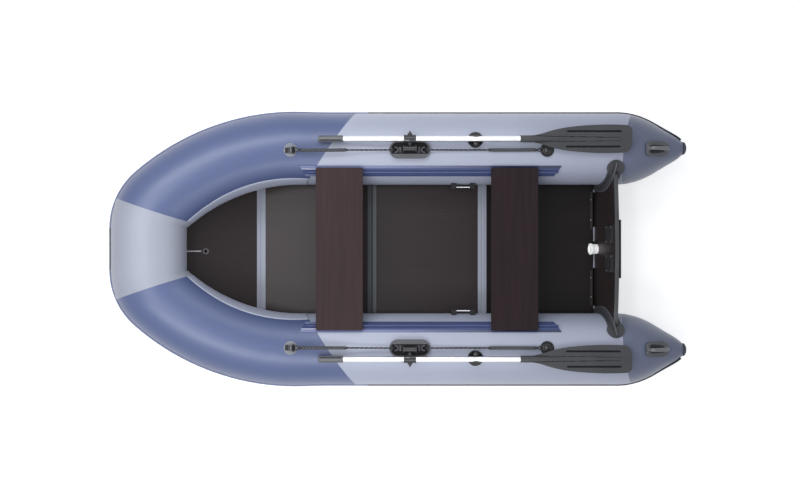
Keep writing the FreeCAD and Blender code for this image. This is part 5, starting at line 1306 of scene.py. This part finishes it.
block_meshes = []
for way in (-1, 1):
    near, far = LUG_BLOCK[:2]
    lug_rows = [[on_pad(way * (near + (far - near) * share), across, rise)
                 for across, rise in lug_section(share)] for share in spread(0, 1, 13)]
    block_meshes.append(grid("lug_block", lug_rows, lock_black))
    reach, radius, wire = ROPE_EAR
    hoop = [on_pad(way * (reach - radius * math.cos(turn)), radius * math.sin(turn), EAR_RISE)
            for turn in spread(-EAR_TURN, EAR_TURN, 21)]
    block_meshes.append(sheath("rope_hoop", hoop, [wire] * len(hoop), lock_rim, segments=10))
shelf_rows = []
for across in spread(*SHELF_SPAN, 9):
    reach = PAD_HALF[0] - PAD_HALF[1] + math.sqrt(SHELF_ROUND ** 2 - across ** 2)
    shelf_rows.append([on_pad(reach * part, across, SHELF_RISE) for part in spread(-1, 1, 25)])
pad_shelf = grid("pad_shelf", shelf_rows, lock_rim, close=False, smooth=False, thickness=SHELF_THICKNESS)
both_sides("oarlock_blocks", joined("oarlock_blocks", [*block_meshes, pad_shelf]), "plastic_black")


def at_oar(along, across, rise):
    """A point in the oar's frame: forward of its pin, outboard along the pin, and above the blade's plane."""
    return oar_middle + Vector((along, 0, 0)) + pin_way * across + blade_way * rise


def rounded_line(corners, steps):
    """A smooth line through points, each given as numbers."""
    corners = [Vector(corner) for corner in corners]
    line = []
    for index in range(len(corners) - 1):
        before, start = corners[max(index - 1, 0)], corners[index]
        end, after = corners[index + 1], corners[min(index + 2, len(corners) - 1)]
        for share in [step / steps for step in range(steps)]:
            line.append(0.5 * (2 * start + (end - before) * share
                               + (2 * before - 5 * start + 4 * end - after) * share ** 2
                               + (3 * start - before - 3 * end + after) * share ** 3))
    return line + [corners[-1]]


wire_points = [at_oar(*spot) for spot in rounded_line(LOOP_LINE, 5)]
keeper = sheath("keeper_wire", wire_points, [LOOP_WIRE] * len(wire_points), steel, segments=8)
both_sides("keeper_wire", keeper, "aluminium_bright", body="oar")

# Oars: bright drawn aluminium tubes with a fluted rubber grip, a moulded collar, and a spoon blade of
# dark grey plastic whose flat spine and two long grooves stiffen it.
BLADE_GREY = paint(62, 63, 67)
BLADE_SHADE = paint(22, 23, 25)
GRIP_GREY = paint(98, 100, 105)
GRIP_SHADE = paint(58, 59, 63)
SHAFT_BRIGHT = paint(246, 246, 246)
BLADE_NECK = -0.603
BLADE_LENGTH = 0.608
BLADE_HALF_WIDTH = 0.08
BLADE_OUTLINE = (
    (0, 0.2), (0.06, 0.21), (0.12, 0.24), (0.165, 0.32), (0.21, 0.42), (0.255, 0.53), (0.3, 0.63),
    (0.37, 0.75), (0.44, 0.84), (0.52, 0.905), (0.6, 0.95), (0.68, 0.983), (0.76, 1), (0.83, 0.995),
    (0.9, 0.98), (0.94, 0.965), (0.965, 0.925), (0.983, 0.84), (0.993, 0.74), (1, 0.62))
BLADE_HALF_THICKNESS = 0.004
BLADE_THINNING = 0.3
BLADE_THIN_SPAN = (0.5, 1)
BLADE_EDGE_ROUND = 0.005
EDGE_CROWDING = 1.35
TIP_SHARE = 0.9
SLEEVE_TABLE = (
    (0, 0.019), (0.1, 0.019), (0.16, 0.0175), (0.24, 0.014), (0.34, 0.0095), (0.45, 0.006), (1, 0.004))
SLEEVE_END = 0.2
SPINE_TABLE = (
    (0, 0.019), (0.16, 0.018), (0.3, 0.0145), (0.6, 0.012), (0.9, 0.009), (0.96, 0.004), (1, 0.001))
SPINE_HEIGHT = 0.0034
SPINE_FLANK = (-0.0007, 0.0016)
SPINE_RUN_OUT = (0.88, 0.95)
SPINE_SHADE = 0.0014
SPINE_SHADE_SPAN = (0.1, 0.9)
HOLLOW_HALF = 0.006
HOLLOW_DEPTH = 0.0012
HOLLOW_FLANK = 0.002
HOLLOW_RUN_IN = (0.2, 0.3)
GROOVE_SPAN = (0.41, 0.905)
GROOVE_RUN_IN = 0.02
GROOVE_OFFSET = 0.043
GROOVE_HALF = 0.006
GROOVE_FLAT = 0.0033
GROOVE_SHADE = 0.0054
GROOVE_DEPTH = 0.003
GRIP_SPAN = (0.364, 0.501)
GRIP_RADIUS = 0.019
GRIP_END = ((0, 0.0165), (0.0015, 0.0182), (0.0035, GRIP_RADIUS), (0.0085, GRIP_RADIUS))
GRIP_FLUTES = 4
GRIP_TURN = math.radians(10)
FLUTE_DEPTH = 0.003
FLUTE_RUN_IN = (0.0085, 0.0105)
FLUTE_FLANK = (0.55, 0.85)


def eased(value, low, high):
    """0 below low and 1 above high, with a soft step between."""
    share = min(max((value - low) / (high - low), 0), 1)
    return share * share * (3 - 2 * share)


def blade_half(share):
    """Half the blade's width at a share of its length, with the sleeve at its neck."""
    sleeve = between(SLEEVE_TABLE, share) if share < SLEEVE_END else 0
    return max(between(BLADE_OUTLINE, share) * BLADE_HALF_WIDTH, sleeve)


def blade_height(share, across):
    """Half the blade's thickness at a place on its face."""
    across = abs(across)
    edge = max(0, 1 - (blade_half(share) - across) / BLADE_EDGE_ROUND)
    thin = 1 - BLADE_THINNING * eased(share, *BLADE_THIN_SPAN)
    skin = BLADE_HALF_THICKNESS * math.sqrt(max(1 - min(edge, 1) ** 2, 0)) * thin
    sleeve = math.sqrt(max(between(SLEEVE_TABLE, share) ** 2 - across ** 2, 0))
    rib = eased(between(SPINE_TABLE, share) - across, *SPINE_FLANK) * (1 - eased(share, *SPINE_RUN_OUT))
    hollow = eased(HOLLOW_HALF - across, -HOLLOW_FLANK, HOLLOW_FLANK) * eased(share, *HOLLOW_RUN_IN)
    start, end = GROOVE_SPAN
    ends = eased(share, start, start + GROOVE_RUN_IN) * (1 - eased(share, end - GROOVE_RUN_IN, end))
    groove = ends * (1 - eased(abs(across - GROOVE_OFFSET), GROOVE_FLAT, GROOVE_HALF))
    face = skin + SPINE_HEIGHT * rib - HOLLOW_DEPTH * hollow - GROOVE_DEPTH * groove
    return max(face, sleeve) if edge < 1 else sleeve


blade_rows = []
for share in spread(0, TIP_SHARE, 90) + spread(TIP_SHARE, 1, 25)[1:]:
    offsets = [blade_half(share) * math.copysign(1 - (1 - abs(part)) ** EDGE_CROWDING, part)
               for part in spread(-1, 1, 97)]
    along = BLADE_NECK - BLADE_LENGTH * share
    crown = [at_oar(along, offset, blade_height(share, offset)) for offset in offsets]
    belly = [at_oar(along, offset, -blade_height(share, offset)) for offset in offsets[1:-1]]
    blade_rows.append(crown + belly[::-1])
blade_plastic = moulded("blade_plastic", BLADE_GREY, roughness=0.42, grain=500.0, depth=0.0002)
blade_shade = moulded("blade_shade", BLADE_SHADE, roughness=0.5, grain=500.0, depth=0.0002, level=0.15)
blade_mesh = grid("oar_blade", blade_rows, blade_plastic, blade_shade)
# Faces in the two grooves and along the spine's edges take a near-black copy of the blade plastic: painted
# shade.
for face in blade_mesh.polygons:
    offset = face.center - oar_middle
    share = (BLADE_NECK - offset.x) / BLADE_LENGTH
    across = abs(offset.dot(pin_way))
    in_groove = abs(across - GROOVE_OFFSET) < GROOVE_SHADE and GROOVE_SPAN[0] < share < GROOVE_SPAN[1]
    by_spine = (abs(across - between(SPINE_TABLE, share)) < SPINE_SHADE
                and SPINE_SHADE_SPAN[0] < share < SPINE_SHADE_SPAN[1])
    if in_groove or by_spine:
        face.material_index = 1
both_sides("oar_blade", blade_mesh, "plastic_grey", "oar_blade", body="oar")

grip_length = GRIP_SPAN[1] - GRIP_SPAN[0]
grip_line = [*GRIP_END]
for place in spread(FLUTE_RUN_IN[1], grip_length - FLUTE_RUN_IN[1], 24):
    grip_line.append((place, GRIP_RADIUS))
grip_line += [(grip_length - place, radius) for place, radius in GRIP_END[::-1]]
grip_rows = []
for place, radius in grip_line:
    deep = FLUTE_DEPTH * eased(min(place, grip_length - place), *FLUTE_RUN_IN)
    row = []
    for turn in around(GRIP_FLUTES * 10):
        reach = radius - deep * eased(math.cos((turn - GRIP_TURN) * GRIP_FLUTES), *FLUTE_FLANK)
        row.append(at_oar(GRIP_SPAN[0] + place, reach * math.cos(turn), reach * math.sin(turn)))
    grip_rows.append(row)
grip_rubber = moulded("grip_rubber", GRIP_GREY, roughness=0.45, grain=380.0)
grip_shade = moulded("grip_shade", GRIP_SHADE, roughness=0.5, grain=380.0, level=0.2)
grip_mesh = grid("oar_grip", grip_rows, grip_rubber, grip_shade)
# Faces deep in the flutes take a darker copy of the grip rubber: painted shade.
for face in grip_mesh.polygons:
    offset = face.center - oar_middle
    if math.hypot(offset.dot(pin_way), offset.dot(blade_way)) < GRIP_RADIUS - FLUTE_DEPTH / 2:
        face.material_index = 1
both_sides("oar_grip", grip_mesh, "rubber_dark", "oar_grip", body="oar")
finish(metal("shaft_metal", SHAFT_BRIGHT, roughness=0.3, along="X"), "oar_shaft_port",
       "oar_shaft_starboard")

# Oar clips: a moulded disc glued on each tube, with a cradle that the oar's shaft snaps into. A round
# latch of shinier plastic stands beside the cradle.
CLIP_BLACK = paint(34, 34, 36)
LATCH_MIDDLE = Vector((-0.394, 0.5765, 0.4475))
LATCH_PROFILE = (
    (-0.03, 0.006), (-0.014, 0.0075), (-0.012, 0.0125), (-0.0085, 0.015), (-0.003, 0.0142),
    (0.0015, 0.0115), (0.0042, 0.0078), (0.0055, 0.0038), (0.0058, 0.0008))
finish(moulded("clip_black", CLIP_BLACK, roughness=0.2, level=0.25), "oar_clips")
latch_black = moulded("latch_black", CLIP_BLACK, roughness=0.08, grain=500.0, depth=0.0, level=0.7)
both_sides("clip_latch", spun("clip_latch", LATCH_MIDDLE, upward, LATCH_PROFILE, latch_black, segments=32),
           "plastic_black")

# Stern handles: a moulded pad on each cone to lift the boat by, with a bar over it; the bar's top is a
# painted highlight and a dark sheet on the tube under it is a painted shadow.
# Side grips: a metal rod in two moulded mounts, beside each tube's inner face.
HANDLE_BLACK = paint(88, 89, 94)
HANDLE_BAR_HIGHLIGHT = paint(112, 114, 119)
HANDLE_SHADOW = paint(34, 35, 38)
HANDLE_SPOT = Vector((-1.408, 0.556, 0.3649))
HANDLE_SLOPE = math.radians(21)
HANDLE_PAD_RISE = 0.0135
SHADOW_ANGLE = 6
SHADOW_HALF = (0.05, 8.4)
SHADOW_SPAN = (-0.98, 0.98)
SHADOW_SQUARENESS = 4
SHADOW_LIFT = 0.0086
SHADOW_THICKNESS = 0.0006
MOUNT_BLACK = paint(27, 27, 29)
ROD_BRIGHT = paint(222, 222, 224)
handle_up = circled(upward, Vector((-1, 0, 0)), HANDLE_SLOPE)
# Faces that stand above the pad, the bar's top, take a lighter copy of the handle plastic: painted highlight.
handle_work = opened_node("stern_handles")
for face in handle_work.faces:
    spot = face.calc_center_median()
    spot.y = abs(spot.y)
    face.material_index = 1 if (spot - HANDLE_SPOT).dot(handle_up) > HANDLE_PAD_RISE else 0
handle_mesh = closed(handle_work, "stern_handle", moulded("handle_black", HANDLE_BLACK, roughness=0.26),
                     moulded("handle_bar", HANDLE_BAR_HIGHLIGHT, roughness=0.2))
shown("stern_handle", handle_mesh, "hull", "plastic_black", "stern_handles")
# A thin dark sheet laid on the tube under each handle's bar is a painted shadow.
shadow_rows = []
for part in spread(*SHADOW_SPAN, 13):
    station = tube_at(HANDLE_SPOT.x + SHADOW_HALF[0] * part)
    reach = SHADOW_HALF[1] * (1 - abs(part) ** SHADOW_SQUARENESS) ** (1 / SHADOW_SQUARENESS)
    shadow_rows.append([tube_spot(station, SHADOW_ANGLE + reach * turn, SHADOW_LIFT) for turn in spread(-1, 1, 9)])
shadow_paint = moulded("handle_well", HANDLE_SHADOW, roughness=0.4, level=0.3)
handle_well = grid("handle_well", shadow_rows, shadow_paint, close=False, thickness=SHADOW_THICKNESS)
both_sides("handle_well", handle_well, "plastic_black")
finish(moulded("mount_plastic", MOUNT_BLACK, roughness=0.45, level=0.3), "side_grip_mounts")
finish(metal("rod_metal", ROD_BRIGHT, roughness=0.28, along="X"), "side_grip_rods")
